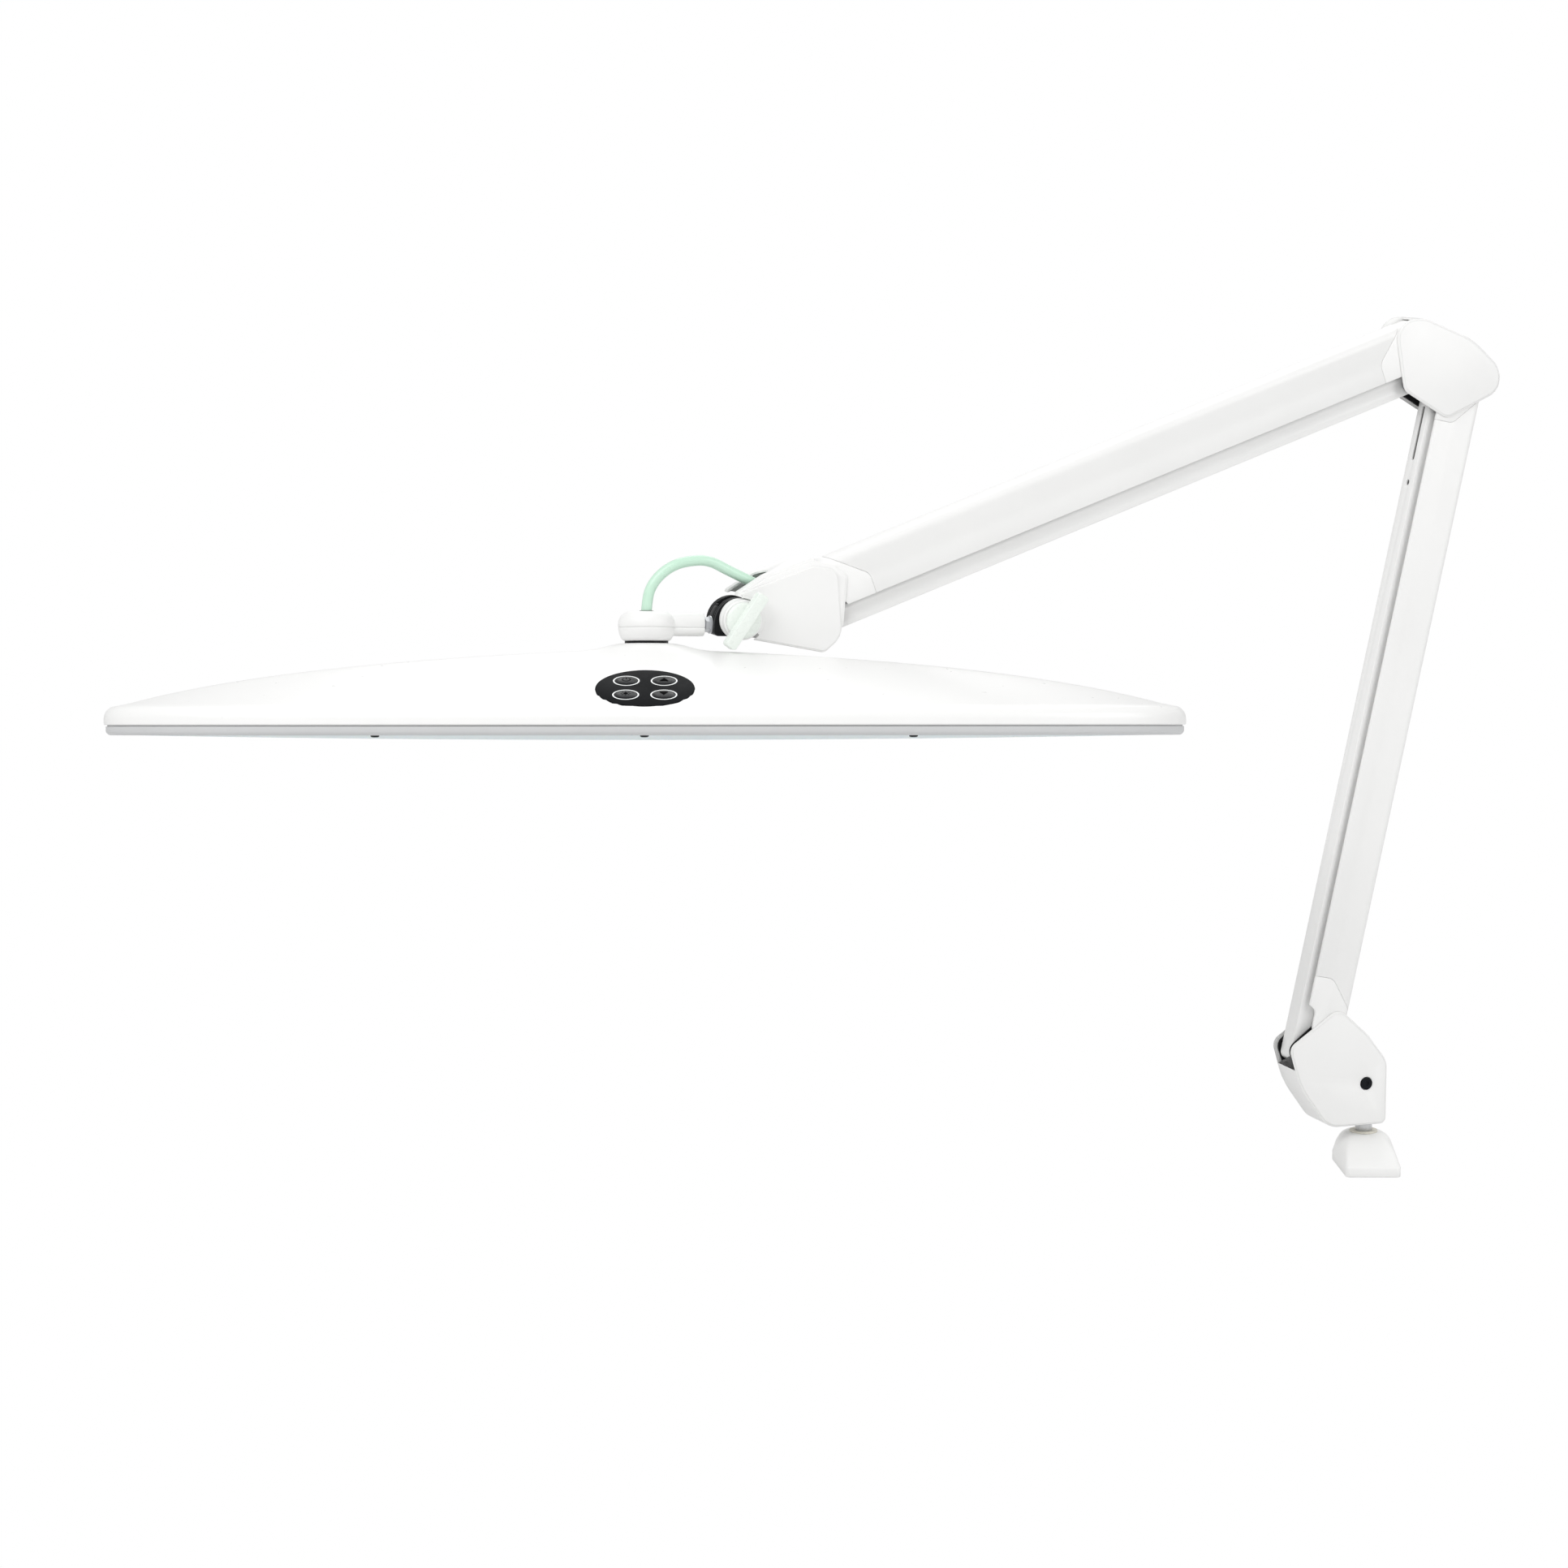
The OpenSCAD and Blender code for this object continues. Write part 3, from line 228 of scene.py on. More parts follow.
def easedEdges(bm, width, segments=2, angle=35, wanted=None):
    edges = [e for e in bm.edges if len(e.link_faces) == 2 and e.calc_face_angle(0) > radians(angle)]
    if wanted:
        edges = [e for e in edges if wanted(e)]
    bmesh.ops.bevel(bm, geom=edges, offset=width, offset_type="OFFSET", segments=segments, profile=0.5,
                    affect="EDGES", material=-1, clamp_overlap=False)


def easedNode(node, width, material, segments=2, angle=35):
    # a merged copy of a CAD node with its edges rounded, in that node's place
    cad = frame["nodes"][node]
    bm = bmesh.new()
    bm.from_mesh(cad.data)
    bmesh.ops.remove_doubles(bm, verts=bm.verts, dist=1e-6)
    bmesh.ops.dissolve_limit(bm, angle_limit=radians(0.5), verts=bm.verts, edges=bm.edges)
    easedEdges(bm, width * mm, segments, angle)
    finishPiece(node + "_eased", bm, None, material, cad["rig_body"], (node,))


def plainNode(node, material):
    data = frame["nodes"][node].data
    data.materials.clear()
    data.materials.append(material)


def ovalRing(halfLength, halfDepth, height, power=2.4, count=200):
    # even steps along a quarter of the rim, mirrored to the other three
    quarter, fine = [], 400
    curve = [Vector((halfLength * cos(pi / 2 * i / fine) ** (2 / power),
                     halfDepth * sin(pi / 2 * i / fine) ** (2 / power), height)) for i in range(fine + 1)]
    lengths = [0]
    for i in range(fine):
        lengths.append(lengths[-1] + (curve[i + 1] - curve[i]).length)
    k = 0
    for i in range(count // 4):
        goal = lengths[-1] * (i + 0.5) / (count // 4)
        while lengths[k + 1] < goal:
            k += 1
        quarter.append(curve[k].lerp(curve[k + 1], (goal - lengths[k]) / (lengths[k + 1] - lengths[k])))
    half = quarter + [Vector((-p.x, p.y, p.z)) for p in quarter[::-1]]
    return half + [Vector((p.x, -p.y, p.z)) for p in half[::-1]]


def lofted(bm, rings, closeStart=False, closeEnd=False):
    # a circle is reshaped to the first ring, then extruded from ring to ring
    circle = bmesh.ops.create_circle(bm, segments=len(rings[0]), radius=1, cap_ends=False)["verts"]
    for vert, point in zip(circle, rings[0]):
        vert.co = point
    loop = list(circle)
    edges = [bm.edges.get((loop[i], loop[i - 1])) for i in range(len(loop))]
    if closeStart:
        bmesh.ops.contextual_create(bm, geom=edges)
    for ring in rings[1:]:
        made = bmesh.ops.extrude_edge_only(bm, edges=edges)["geom"]
        verts = {v for v in made if isinstance(v, bmesh.types.BMVert)}
        nextLoop = [next(e.other_vert(v) for e in v.link_edges if e.other_vert(v) in verts) for v in loop]
        for vert, point in zip(nextLoop, ring):
            vert.co = point
        loop = nextLoop
        edges = [bm.edges.get((loop[i], loop[i - 1])) for i in range(len(loop))]
    if closeEnd:
        bmesh.ops.contextual_create(bm, geom=edges)


def spun(bm, profile, axis=(0, 0, 1), centre=(0, 0, 0), steps=64):
    verts = [bm.verts.new(p) for p in profile]
    edges = [bm.edges.new((verts[i], verts[i + 1])) for i in range(len(verts) - 1)]
    bmesh.ops.spin(bm, geom=verts + edges, cent=centre, axis=axis, angle=2 * pi, steps=steps,
                   use_merge=True)
    bmesh.ops.remove_doubles(bm, verts=bm.verts, dist=1e-4)
    bmesh.ops.recalc_face_normals(bm, faces=bm.faces)


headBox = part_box("shade")
shade = {"halfLength": (headBox[1].x - headBox[0].x) / 2 / mm, "halfDepth": 95, "power": 2.4,
         "crest": 45.5, "crestMidX": 234, "crestMid": 37.8, "crestEnd": 8.5, "ridge": 0.05,
         "skirt": 3.5, "fillet": 8, "filletEnd": 66, "wall": 2.4, "innerWall": 8,
         "bossTop": 48.5, "bossRadius": 14.5, "fairing": 36, "roofRings": 35, "filletRings": 7}


def crestHeight(x):
    full, mid = shade["halfLength"], shade["crestMidX"]
    bend = full - 2 * mid
    t = (-2 * mid + sqrt(4 * mid * mid + 4 * bend * min(abs(x), full))) / (2 * bend)
    return (1 - t) ** 2 * shade["crest"] + 2 * t * (1 - t) * shade["crestMid"] + t * t * shade["crestEnd"]


def roofRing(s, halfLength, halfDepth, base):
    ring = []
    ridge = shade["ridge"]
    for p in ovalRing(halfLength * s, halfDepth * s, 0):
        q = (abs(p.x) / halfLength) ** shade["power"]
        t = (max(s ** shade["power"] - q, 0) / max(1 - q, 0.001)) ** (1 / shade["power"])
        t = (sqrt(min(t, 1) ** 2 + ridge ** 2) - ridge) / (sqrt(1 + ridge ** 2) - ridge)
        p.z = base + max(crestHeight(p.x) - base, 0) * (1 - t)
        # a soft rise to the seat under the neck
        u = (Vector(p.xy).length - shade["bossRadius"]) / (shade["fairing"] - shade["bossRadius"])
        u = min(max(u, 0), 1)
        p.z += (shade["bossTop"] - 0.1 - p.z) * (1 - u * u * (3 - 2 * u))
        ring.append(p)
    return ring


def shadeShell():
    f, end = shade["fillet"], radians(shade["filletEnd"])
    inset = f * (1 - cos(end))
    base = shade["skirt"] + f * sin(end)
    a, b = shade["halfLength"], shade["halfDepth"]
    roof, rounds = shade["roofRings"], shade["filletRings"]
    # the rings crowd a little towards the crest
    shares = [0.01 + 0.99 * (k / (roof - 1)) ** 1.15 for k in range(roof)]
    rings = [roofRing(s, a - inset, b - inset, base) for s in shares]
    for k in range(1, rounds + 1):
        turn = end * (1 - k / rounds)
        inward = f * (1 - cos(turn))
        rings.append(ovalRing(a - inward, b - inward, shade["skirt"] + f * sin(turn)))
    rings.append(ovalRing(a, b, 0.6))
    rings.append(ovalRing(a - 0.5, b - 0.5, 0))
    rings.append(ovalRing(a - shade["wall"], b - shade["wall"], 0))
    rings.append(ovalRing(a - shade["wall"], b - shade["wall"], shade["innerWall"]))
    bm = bmesh.new()
    lofted(bm, rings, closeStart=True)
    # the seat of the keypad is pressed flat into the roof
    toKey = keyPlace.inverted() @ headPlace
    fromKey = toKey.inverted()
    for vert in bm.verts:
        local = toKey @ vert.co
        inSeat = Vector(local.xy).length < keypad["radius"] - keypad["seatMargin"]
        if inSeat and local.z > keypad["back"]:
            vert.co = fromKey @ Vector((local.x, local.y, keypad["back"]))
    bmesh.ops.recalc_face_normals(bm, faces=bm.faces)
    spun(bm, [(15.2, 0, 48.1), (14.6, 0, 48.4), (14.2, 0, 48.5), (5.1, 0, 48.5)])
    finishPiece("shadeShell", bm, headPlace, glossAbs, "head", ("shade",))


bezel = {"height": 6, "inset": 1.2, "width": 14}


def bezelRing():
    a, b = shade["halfLength"] - bezel["inset"], shade["halfDepth"] - bezel["inset"]
    h, w = bezel["height"], bezel["width"] - bezel["inset"]
    steps = [(0.9, 0), (0.9, -0.7), (0, -0.9), (0, -h + 2.3), (0.4, -h + 1.5), (1.3, -h + 0.5),
             (2.4, -h), (w - 0.5, -h), (w, -h + 0.4), (w, -h + 1.5), (w - 3, -h + 1.5), (w - 3, 0),
             (0.9, 0)]
    bm = bmesh.new()
    lofted(bm, [ovalRing(a - d, b - d, z) for d, z in steps])
    bmesh.ops.remove_doubles(bm, verts=bm.verts, dist=1e-4)
    bmesh.ops.recalc_face_normals(bm, faces=bm.faces)
    finishPiece("bezelRing", bm, headPlace, greyAbs, "head", ("bezel",))


diffuser = {"drop": 9, "gap": 0.3, "top": 2.7, "lip": 2.8}


def diffuserLens():
    a = shade["halfLength"] - bezel["width"] - diffuser["gap"]
    b = shade["halfDepth"] - bezel["width"] - diffuser["gap"]
    low, depth, top = -bezel["height"], diffuser["drop"] - bezel["height"], -bezel["height"] + diffuser["top"]
    wide = diffuser["lip"]
    rings = [ovalRing(a * s, b * s, low - depth * (1 - s * s))
             for s in (0.01, 0.12, 0.25, 0.4, 0.55, 0.7, 0.82, 0.92, 1)]
    rings += [ovalRing(a, b, top - 1.2), ovalRing(a + wide, b + wide, top - 1.2),
              ovalRing(a + wide, b + wide, top), ovalRing(a - 2, b - 2, top)]
    rings += [ovalRing((a - 2) * s, (b - 2) * s, top - 1.5 - depth * (1 - s * s))
              for s in (1, 0.8, 0.5, 0.2, 0.01)]
    bm = bmesh.new()
    lofted(bm, rings, True, True)
    bmesh.ops.recalc_face_normals(bm, faces=bm.faces)
    finishPiece("diffuserLens", bm, headPlace, opalAcrylic, "head", ("diffuser",))


screws = {"x": (-155, 0, 155), "inset": 7}


def bezelScrews():
    bm = bmesh.new()
    a, b = shade["halfLength"] - screws["inset"], shade["halfDepth"] - screws["inset"]
    low = -bezel["height"]
    for x in screws["x"]:
        for side in (-1, 1):
            y = side * b * (1 - (abs(x) / a) ** shade["power"]) ** (1 / shade["power"])
            one = bmesh.new()
            spun(one, [(0, 0, low - 0.7), (0.8, 0, low - 0.7), (0.9, 0, low - 1.15), (1.9, 0, low - 1.05),
                       (2.5, 0, low - 0.6), (2.6, 0, low - 0.05), (1.2, 0, low), (1.2, 0, 5),
                       (0, 0, 5.6)], steps=24)
            bmesh.ops.translate(one, vec=(x, y, 0), verts=one.verts)
            part = bpy.data.meshes.new("screw")
            one.to_mesh(part)
            one.free()
            bm.from_mesh(part)
            bpy.data.meshes.remove(part)
    finishPiece("bezelScrewHeads", bm, headPlace, blackOxide, "head", ("bezel_screws",))


keypad = {"y": -64.2, "z": 21.3, "tilt": 22, "sunk": 0.5, "radius": 29, "back": -0.9, "seatMargin": 1.5,
          "pitch": 22, "ringOuter": 7.8, "ringInner": 6.95, "ringHeight": 0.76}
keyPlace = headPlace @ Matrix.Translation((0, keypad["y"], keypad["z"])) @ Matrix.Rotation(
    radians(keypad["tilt"]), 4, "X")
# the film lies a little deeper than the CAD panel, flush with the roof
filmPlace = keyPlace @ Matrix.Translation((0, 0, -keypad["sunk"]))


def flatRing(bm, outer, inner, height, start=0, sweep=2 * pi, steps=40, centre=(0, 0)):
    # a printed band: a short edge swept round
    ends = [bm.verts.new((centre[0] + r * cos(start), centre[1] + r * sin(start), height))
            for r in (inner, outer)]
    edge = bm.edges.new(ends)
    bmesh.ops.spin(bm, geom=ends + [edge], cent=(centre[0], centre[1], 0), axis=(0, 0, 1), angle=sweep,
                   steps=steps, use_merge=sweep > 6.28)


def printed(bm, thickness=0.06):
    # ink with a little body to it
    made = bmesh.ops.extrude_face_region(bm, geom=list(bm.faces))["geom"]
    top = [v for v in made if isinstance(v, bmesh.types.BMVert)]
    bmesh.ops.translate(bm, vec=(0, 0, thickness), verts=top)
    bmesh.ops.recalc_face_normals(bm, faces=bm.faces)


def keyCentres():
    half = keypad["pitch"] / 2
    return {"power": (-half, half), "up": (half, half), "light": (-half, -half), "down": (half, -half)}


def keypadPanel():
    r, back = keypad["radius"], keypad["back"]
    bm = bmesh.new()
    spun(bm, [(0, 0, 0.75), (r - 0.7, 0, 0.75), (r - 0.2, 0, 0.55), (r, 0, 0.1), (r - 0.4, 0, back),
              (0, 0, back)], steps=96)
    finishPiece("keypadPanel", bm, filmPlace, overlayFilm, "head", ("keypad_panel",))
    ink = bmesh.new()
    for x, y in keyCentres().values():
        flatRing(ink, keypad["ringOuter"], keypad["ringInner"], keypad["ringHeight"], centre=(x, y))
    printed(ink)
    finishPiece("keypadRings", ink, filmPlace, whiteInk, "head")


button = {"radius": 7, "top": 1.1, "crown": 0.6, "stem": -0.9, "symbol": 0.62}


def buttonCap(name, centre):
    r, top = button["radius"], button["top"]
    bm = bmesh.new()
    spun(bm, [(0, 0, top + button["crown"]), (2.5, 0, top + 0.5), (4.6, 0, top + 0.22),
              (6.2, 0, top - 0.15), (r - 0.15, 0, top - 0.5), (r, 0, top - 0.9),
              (r, 0, button["stem"]), (0, 0, button["stem"])], steps=48)
    bmesh.ops.translate(bm, vec=(centre[0], centre[1], 0), verts=bm.verts)
    # the key caps take the domed film, whose lighter colour is a painted highlight
    finishPiece(name + "Button", bm, filmPlace, domedFilmPaintedSheen, name + "_button", ("button_" + name,))


def triangle(bm, height, centre, size, way):
    made = bmesh.ops.create_circle(bm, cap_ends=True, segments=3, radius=size)["verts"]
    bmesh.ops.rotate(bm, verts=made, cent=(0, 0, 0), matrix=Matrix.Rotation(0 if way > 0 else pi, 3, "Z"))
    bmesh.ops.translate(bm, verts=made, vec=(centre[0], centre[1] - 0.25 * way * size, height))


def bar(bm, height, centre, length, width, turn, away=0):
    made = bmesh.ops.create_grid(bm, x_segments=1, y_segments=1, size=0.5)["verts"]
    bmesh.ops.scale(bm, verts=made, vec=(width, length, 1))
    bmesh.ops.translate(bm, verts=made, vec=(0, away, 0))
    bmesh.ops.rotate(bm, verts=made, cent=(0, 0, 0), matrix=Matrix.Rotation(turn, 3, "Z"))
    bmesh.ops.translate(bm, verts=made, vec=(centre[0], centre[1], height))


def buttonSymbols():
    height = button["top"] + button["symbol"]
    for name, centre in keyCentres().items():
        bm = bmesh.new()
        if name == "power":
            flatRing(bm, 2.6, 2.05, height - 0.1, radians(120), radians(300), 28, centre)
            bar(bm, height - 0.02, centre, 2.4, 0.55, 0, 1.7)
        elif name == "light":
            flatRing(bm, 1.35, 0.01, height, centre=centre)
            for k in range(8):
                bar(bm, height - 0.09, centre, 1.0, 0.45, k * pi / 4, 2.5)
        else:
            triangle(bm, height, centre, 3.1, 1 if name == "up" else -1)
        printed(bm)
        finishPiece(name + "Symbol", bm, filmPlace, blackInk, name + "_button")


spring = {"coilRadius": 3.5, "wire": 0.7, "turns": 60, "perTurn": 14, "pinRadius": 2.5, "anchorRadius": 2,
          "anchorX": -2, "anchorZ": 150}


def woundSpring(name, place, pin, body, node):
    start = Vector((pin[0], 0, pin[1]))
    end = Vector((spring["anchorX"], 0, spring["anchorZ"]))
    span = (end - start).length
    low = spring["pinRadius"] + 1.2
    coil = span - low - spring["anchorRadius"] - 1.2
    wire, r, per = spring["wire"], spring["coilRadius"], spring["perTurn"]
    steps = spring["turns"] * per
    bm = bmesh.new()
    circle = bmesh.ops.create_circle(bm, segments=8, radius=wire, cap_ends=True)["verts"]
    bmesh.ops.rotate(bm, verts=circle, cent=(0, 0, 0), matrix=Matrix.Rotation(pi / 2, 3, "X"))
    bmesh.ops.translate(bm, verts=circle, vec=(r, 0, low))
    bmesh.ops.spin(bm, geom=bm.faces[:], cent=(0, 0, 0), axis=(0, 0, 1), dvec=(0, 0, coil / steps),
                   angle=2 * pi * spring["turns"], steps=steps)
    for height, eye in ((0, spring["pinRadius"]), (span, spring["anchorRadius"])):
        ring = bmesh.ops.create_circle(bm, segments=8, radius=wire, cap_ends=True)["verts"]
        bmesh.ops.translate(bm, verts=ring, vec=(eye + 0.1 + wire, 0, height))
        face = next(f for f in bm.faces if set(f.verts) == set(ring))
        bmesh.ops.spin(bm, geom=[face], cent=(0, 0, height), axis=(0, 1, 0), angle=2 * pi, steps=28,
                       use_merge=True)
    bmesh.ops.recalc_face_normals(bm, faces=bm.faces)
    lean = atan2(end.x - start.x, end.z - start.z)
    where = place @ Matrix.Translation(start) @ Matrix.Rotation(lean, 4, "Y")
    finishPiece(name, bm, where, springWire, body, (node,))


def linkPin(place, joint):
    p = place.inverted() @ pivot(joint)
    return p.x, p.z


# The cable's route in the plane of the arm, in mm from the tilt axis
cable = {"radius": 3.2, "split": 6, "route": [
    (-55.1, 0, -2.1), (-54.7, 1.1, 6.4), (-52.2, 2.1, 18), (-45.5, 2, 27), (-35.5, 1, 33), (-23, 0, 35),
    (-14, 0, 33.5), (-4, 0, 28.5), (10, 0, 21.5), (22, 0, 16), (31, 0, 12.5)]}


def smoothRoute(points, perSpan):
    out = []
    last = len(points) - 1
    for i in range(last):
        a, b, c, d = (Vector(points[min(max(i + k, 0), last)]) for k in (-1, 0, 1, 2))
        for k in range(perSpan):
            t = k / perSpan
            out.append(0.5 * (2 * b + (c - a) * t + (2 * a - 5 * b + 4 * c - d) * t * t
                              + (3 * b - a - 3 * c + d) * t ** 3))
    out.append(Vector(points[-1]))
    return out


def cableLength(name, points, node):
    place = onArm("head_tilt")
    curve = bpy.data.curves.new(name, "CURVE")
    curve.dimensions = "3D"
    curve.bevel_depth = cable["radius"] * mm
    curve.bevel_resolution = 5
    curve.use_fill_caps = True
    line = curve.splines.new("POLY")
    line.points.add(len(points) - 1)
    for point, spot in zip(line.points, points):
        point.co = (place @ spot).to_4d()
    made = bpy.data.objects.new(name + "Line", curve)
    mesh = bpy.data.meshes.new_from_object(made)
    bpy.data.objects.remove(made)
    mesh.name = name
    for face in mesh.polygons:
        face.use_smooth = True
    mesh.materials.clear()
    mesh.materials.append(mintPvc)
    piece = bpy.data.objects.new(name, mesh)
    bpy.context.scene.collection.objects.link(piece)
    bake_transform(piece)
    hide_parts(node)


def headCable():
    per = 8
    points = smoothRoute(cable["route"], per)
    cut = cable["split"] * per
    cableLength("cableToBracket", points[cut:][::-1], "cable_upper")
    cableLength("cableToNeck", points[:cut + 1][::-1], "cable_lower")


wing = {"disc": 10.7, "back": -17.05, "rise": 6.2, "turn": 33, "length": 38, "width": 7.8, "front": 7.2,
        "corner": 1.9}


def wingKnob():
    y, half, r = wing["back"], wing["length"] / 2, wing["disc"]
    disc = bmesh.new()
    spun(disc, [(0, y, 0), (r - 0.4, y, 0), (r, y - 0.4, 0), (r, y - 1.7, 0), (r - 1.1, y - 2.7, 0),
                (r - 1.5, y - 2.8, 0), (0, y - 2.9, 0)], axis=(0, 1, 0), steps=72)
    grip = bmesh.new()
    bmesh.ops.create_cube(grip, size=1)
    bmesh.ops.scale(grip, verts=grip.verts, vec=(wing["width"], wing["rise"], 2 * half))
    bmesh.ops.translate(grip, verts=grip.verts, vec=(0, y - 2.4 - wing["rise"] / 2, 0))
    front = min(grip.faces, key=lambda f: f.calc_center_median().y)
    bmesh.ops.scale(grip, verts=front.verts, vec=(wing["front"] / wing["width"], 1, 0.98))
    upright = [e for e in grip.edges if abs(e.verts[0].co.y - e.verts[1].co.y) > 1]
    bmesh.ops.bevel(grip, geom=upright, offset=wing["corner"], offset_type="OFFSET", segments=6,
                    profile=0.5, affect="EDGES", material=-1, clamp_overlap=True)
    easedEdges(grip, 0.45, 3, 50, lambda e: max(v.co.y for v in e.verts) < y - wing["rise"])
    part = bpy.data.meshes.new("wing")
    grip.to_mesh(part)
    grip.free()
    disc.from_mesh(part)
    bpy.data.meshes.remove(part)
    bmesh.ops.rotate(disc, verts=disc.verts, cent=(0, 0, 0),
                     matrix=Matrix.Rotation(radians(wing["turn"]), 3, "Y"))
    finishPiece("wingKnob", disc, tiltPlace, knobAbs, "knob", ("wing_knob",))


lip = {"inner": 12.9, "outer": 15.4, "near": -13.6, "far": -12.3, "from": 40, "sweep": -128}


def coverLip():
    # the cover's front wall closes up to the collar; the CAD cut there clears the whole yoke
    bm = bmesh.new()
    corners = [(lip["inner"], lip["near"]), (lip["outer"], lip["near"]), (lip["outer"], lip["far"]),
               (lip["inner"], lip["far"])]
    start = Matrix.Rotation(radians(lip["from"]), 3, "Y")
    face = bm.faces.new([bm.verts.new(start @ Vector((r, y, 0))) for r, y in corners])
    bmesh.ops.spin(bm, geom=[face], cent=(0, 0, 0), axis=(0, 1, 0), angle=radians(lip["sweep"]), steps=36)
    bmesh.ops.recalc_face_normals(bm, faces=bm.faces)
    finishPiece("headCoverLip", bm, onArm("head_tilt"), satinAbs, "head_bracket", ())


collar = {"radius": 12.6, "bore": 2.6, "back": -9}


def knobSpacer():
    # a smooth collar between the yoke and the knob, a little hollow at its waist
    r, bore, back, front = collar["radius"], collar["bore"], collar["back"], wing["back"] + 0.1
    bm = bmesh.new()
    spun(bm, [(bore, back, 0), (r - 0.3, back, 0), (r, back - 0.4, 0), (r, back - 2.4, 0),
              (r - 0.5, back - 3.1, 0), (r - 0.7, front + 2.2, 0), (r - 0.5, front + 1.2, 0),
              (r - 0.6, front + 0.5, 0), (r - 1.2, front, 0), (bore, front, 0)],
         axis=(0, 1, 0), steps=72)
    finishPiece("knobSpacer", bm, tiltPlace, satinAbs, "knuckle", ("knob_spacer",))


print("pieces described")
shadeShell()
bezelRing()
diffuserLens()
bezelScrews()
keypadPanel()
for buttonName, buttonCentre in keyCentres().items():
    buttonCap(buttonName, buttonCentre)
buttonSymbols()
print("head made")

woundSpring("lowerSpringWire", lowerPlace, linkPin(lowerPlace, "lower_bar_swing"), "lower_arm",
            "lower_spring")
woundSpring("upperSpringWire", upperPlace, linkPin(upperPlace, "upper_bar_swing"), "upper_arm",
            "upper_spring")
headCable()
wingKnob()
knobSpacer()
coverLip()
print("springs, cable and knob made")

# node, edge width in mm, material
eased = [
    ("foot_body", 0.6, satinAbs), ("foot_bush", 0.2, waxyNylon),
    ("pivot_pin", 0.4, zincPlate), ("base_frame", 0.3, dipCoat),
    ("base_cover_front", 0.35, satinAbs), ("base_cover_rear", 0.35, satinAbs),
    ("base_cover_screws", 0.2, blackOxide), ("lower_channel", 0.4, powderCoat),
    ("lower_end_base", 0.3, satinAbs), ("lower_end_elbow", 0.3, satinAbs),
    ("lower_link", 0.4, powderCoat), ("elbow_frame", 0.3, dipCoat),
    ("elbow_cap_front", 0.35, satinAbs), ("elbow_cap_rear", 0.35, satinAbs),
    ("upper_channel", 0.4, powderCoat), ("upper_end_elbow", 0.3, satinAbs),
    ("upper_end_head", 0.3, satinAbs), ("upper_link", 0.4, powderCoat),
    ("head_frame", 0.3, dipCoat), ("tilt_yoke", 0.35, filledNylon),
    ("clamp_bolt", 0.3, zincPlate), ("neck_cup", 0.5, satinAbs),
    ("neck_dome", 0.5, satinAbs), ("cable_gland", 0.3, filledNylon)]
for node, width, material in eased:
    easedNode(node, width, material)
easedNode("head_cover", 0.12, satinAbs, 1, 14)
for node, material in (
        ("base_axles", zincPlate), ("elbow_axles", zincPlate), ("head_axles", zincPlate),
        ("lower_bushes", waxyNylon), ("upper_bushes", waxyNylon), ("friction_washers", waxyNylon),
        ("lower_spring_anchor", zincPlate), ("upper_spring_anchor", zincPlate), ("roll_bolt", zincPlate),
        ("neck_stud", zincPlate), ("neck_nut", zincPlate), ("swivel_washer", filledNylon),
        ("cable_clamp", filledNylon), ("led_tray", rolledSheet), ("led_boards", whiteMask), ("leds", phosphor),
        ("driver_box", rolledSheet), ("keypad_board", greenMask)):
    plainNode(node, material)
print("frame pieces finished")

studio = {"floorSize": 12, "camera": (-0.3755, -2.5146, 0.6266), "pitch": 8.6, "lens": 91.3, "ambient": 0.645,
          "lamps": (("keyLamp", (-1.6, -1.9, 2.4), 1.6, 37), ("fillLamp", (1.9, -1.4, 1.5), 1.4, 15),
                    ("backLamp", (-0.2, 1.9, 2.2), 1.6, 16))}


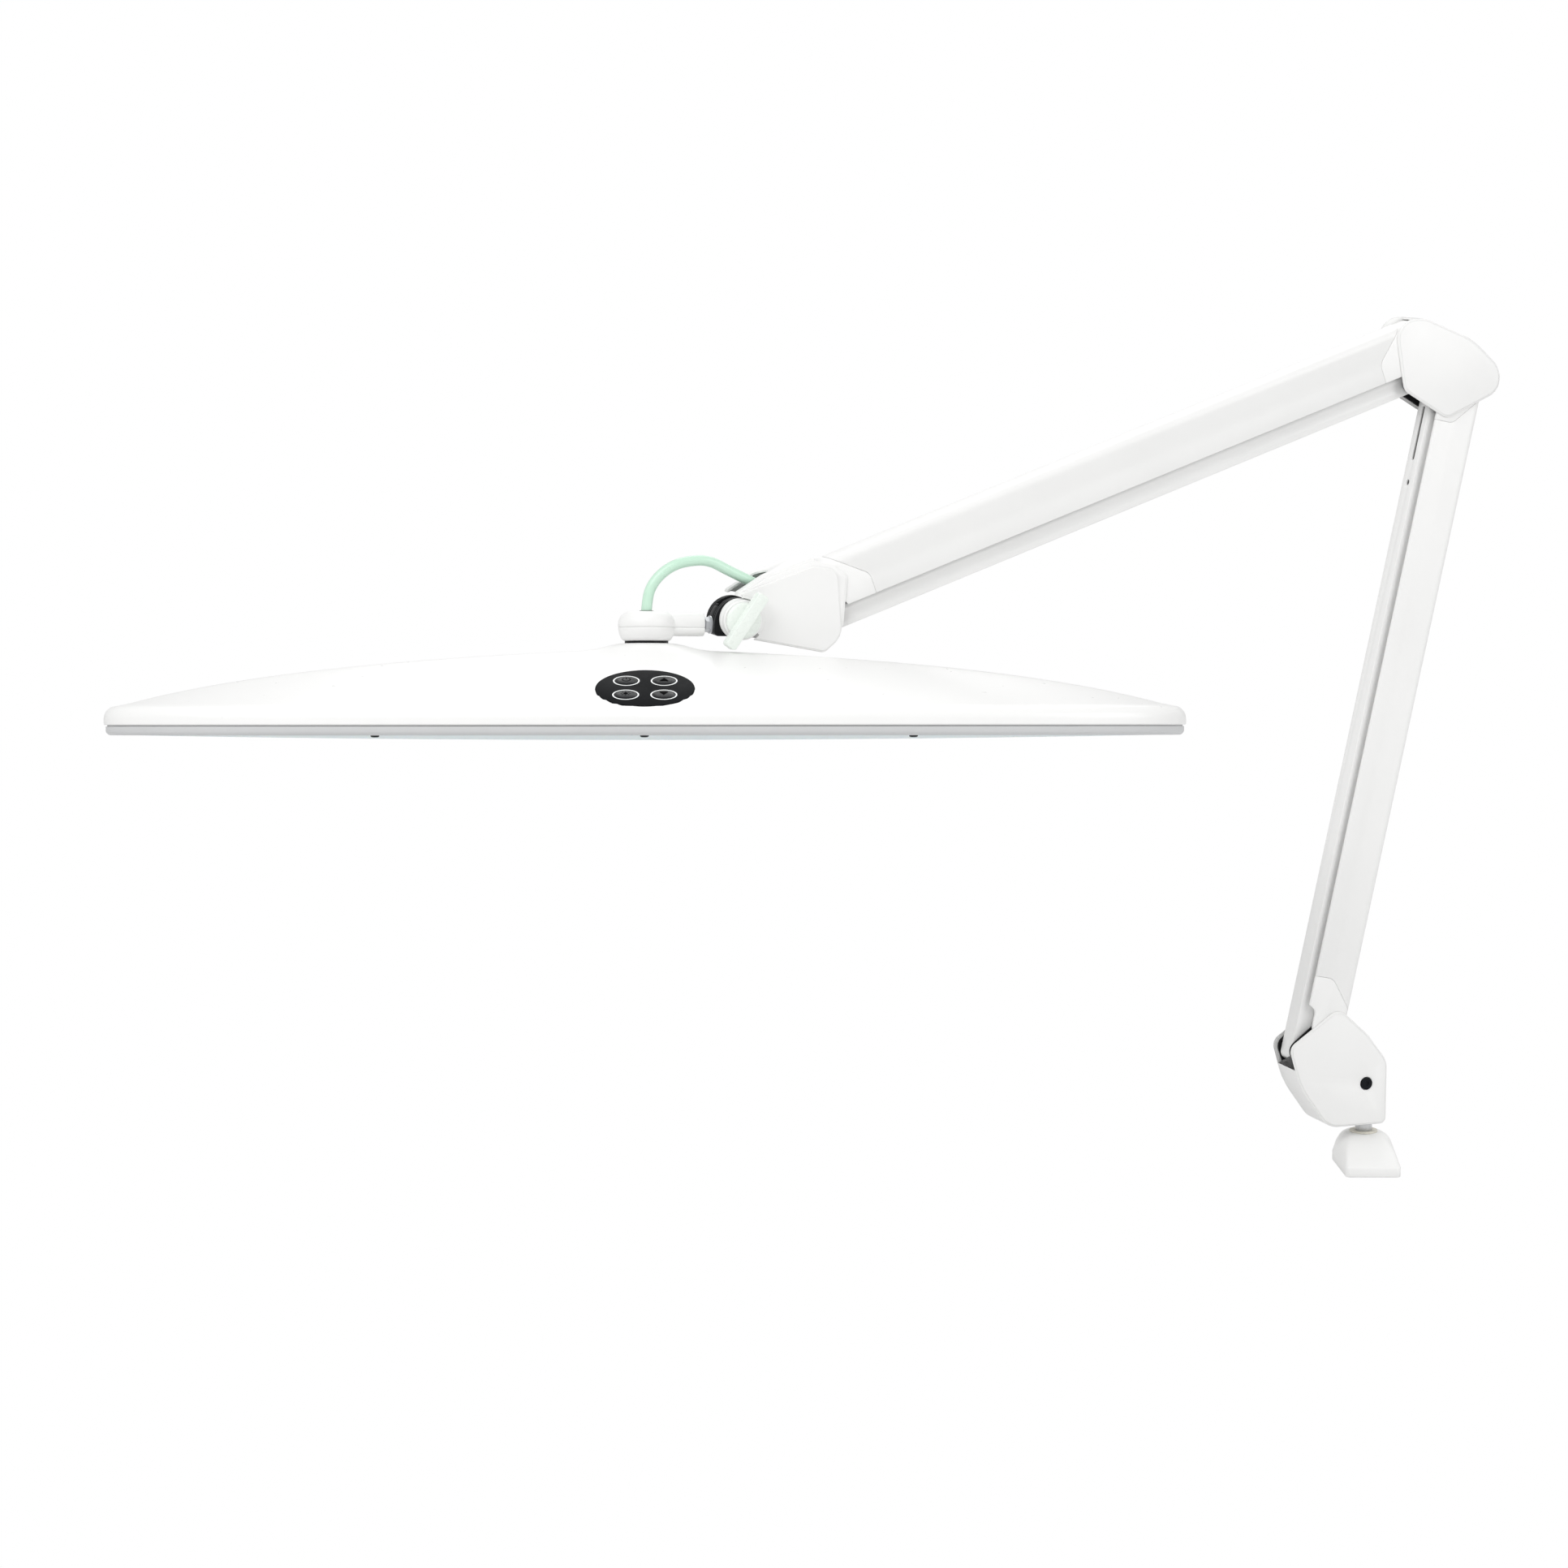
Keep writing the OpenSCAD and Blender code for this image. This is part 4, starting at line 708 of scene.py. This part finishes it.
def paleFloor():
    bm = bmesh.new()
    bmesh.ops.create_grid(bm, x_segments=1, y_segments=1, size=studio["floorSize"])
    floor = finishPiece("paleFloor", bm, None, bpy.data.materials.new("paleFloorPaint"), None)
    material = floor.data.materials[0]
    material.use_nodes = True
    tree = material.node_tree
    tree.nodes.clear()
    out = addNode(tree, "ShaderNodeOutputMaterial", {})
    paint = addNode(tree, "ShaderNodeBsdfDiffuse", {"Color": srgb("#E4E4E4")})
    glow = addNode(tree, "ShaderNodeEmission", {"Color": (1, 1, 1, 1), "Strength": 1.0})
    path = addNode(tree, "ShaderNodeLightPath", {})
    mixed = addNode(tree, "ShaderNodeMixShader", {}, {"Fac": path.outputs["Is Camera Ray"]})
    tree.links.new(paint.outputs[0], mixed.inputs[1])
    tree.links.new(glow.outputs[0], mixed.inputs[2])
    tree.links.new(mixed.outputs[0], out.inputs["Surface"])


def whiteWorld():
    world = bpy.data.worlds.new("whiteStudio")
    bpy.context.scene.world = world
    world.use_nodes = True
    tree = world.node_tree
    tree.nodes.clear()
    out = addNode(tree, "ShaderNodeOutputWorld", {})
    room = addNode(tree, "ShaderNodeBackground", {"Color": (1, 1, 1, 1), "Strength": studio["ambient"]})
    seen = addNode(tree, "ShaderNodeBackground", {"Color": (1, 1, 1, 1), "Strength": 1.0})
    path = addNode(tree, "ShaderNodeLightPath", {})
    direct = addNode(tree, "ShaderNodeMath", {"operation": "MAXIMUM"}, {})
    tree.links.new(path.outputs["Is Camera Ray"], direct.inputs[0])
    tree.links.new(path.outputs["Is Transmission Ray"], direct.inputs[1])
    mixed = addNode(tree, "ShaderNodeMixShader", {}, {"Fac": direct.outputs[0]})
    tree.links.new(room.outputs[0], mixed.inputs[1])
    tree.links.new(seen.outputs[0], mixed.inputs[2])
    tree.links.new(mixed.outputs[0], out.inputs["Surface"])


def softLamps():
    for name, spot, size, power in studio["lamps"]:
        light = bpy.data.lights.new(name, "AREA")
        light.size = size
        light.energy = power
        lamp = bpy.data.objects.new(name, light)
        lamp.location = spot
        lamp.rotation_euler = (Vector((-0.2, 0, 0.3)) - Vector(spot)).to_track_quat("-Z", "Y").to_euler()
        bpy.context.scene.collection.objects.link(lamp)


def frontCamera():
    camera = bpy.data.objects.new("camera", bpy.data.cameras.new("camera"))
    camera.data.lens = studio["lens"]
    camera.data.sensor_width = 36
    camera.location = studio["camera"]
    camera.rotation_euler = (radians(90 - studio["pitch"]), 0, 0)
    bpy.context.scene.collection.objects.link(camera)
    bpy.context.scene.camera = camera


paleFloor()
whiteWorld()
softLamps()
frontCamera()
bpy.context.scene.view_settings.view_transform = "Standard"
print("studio made")
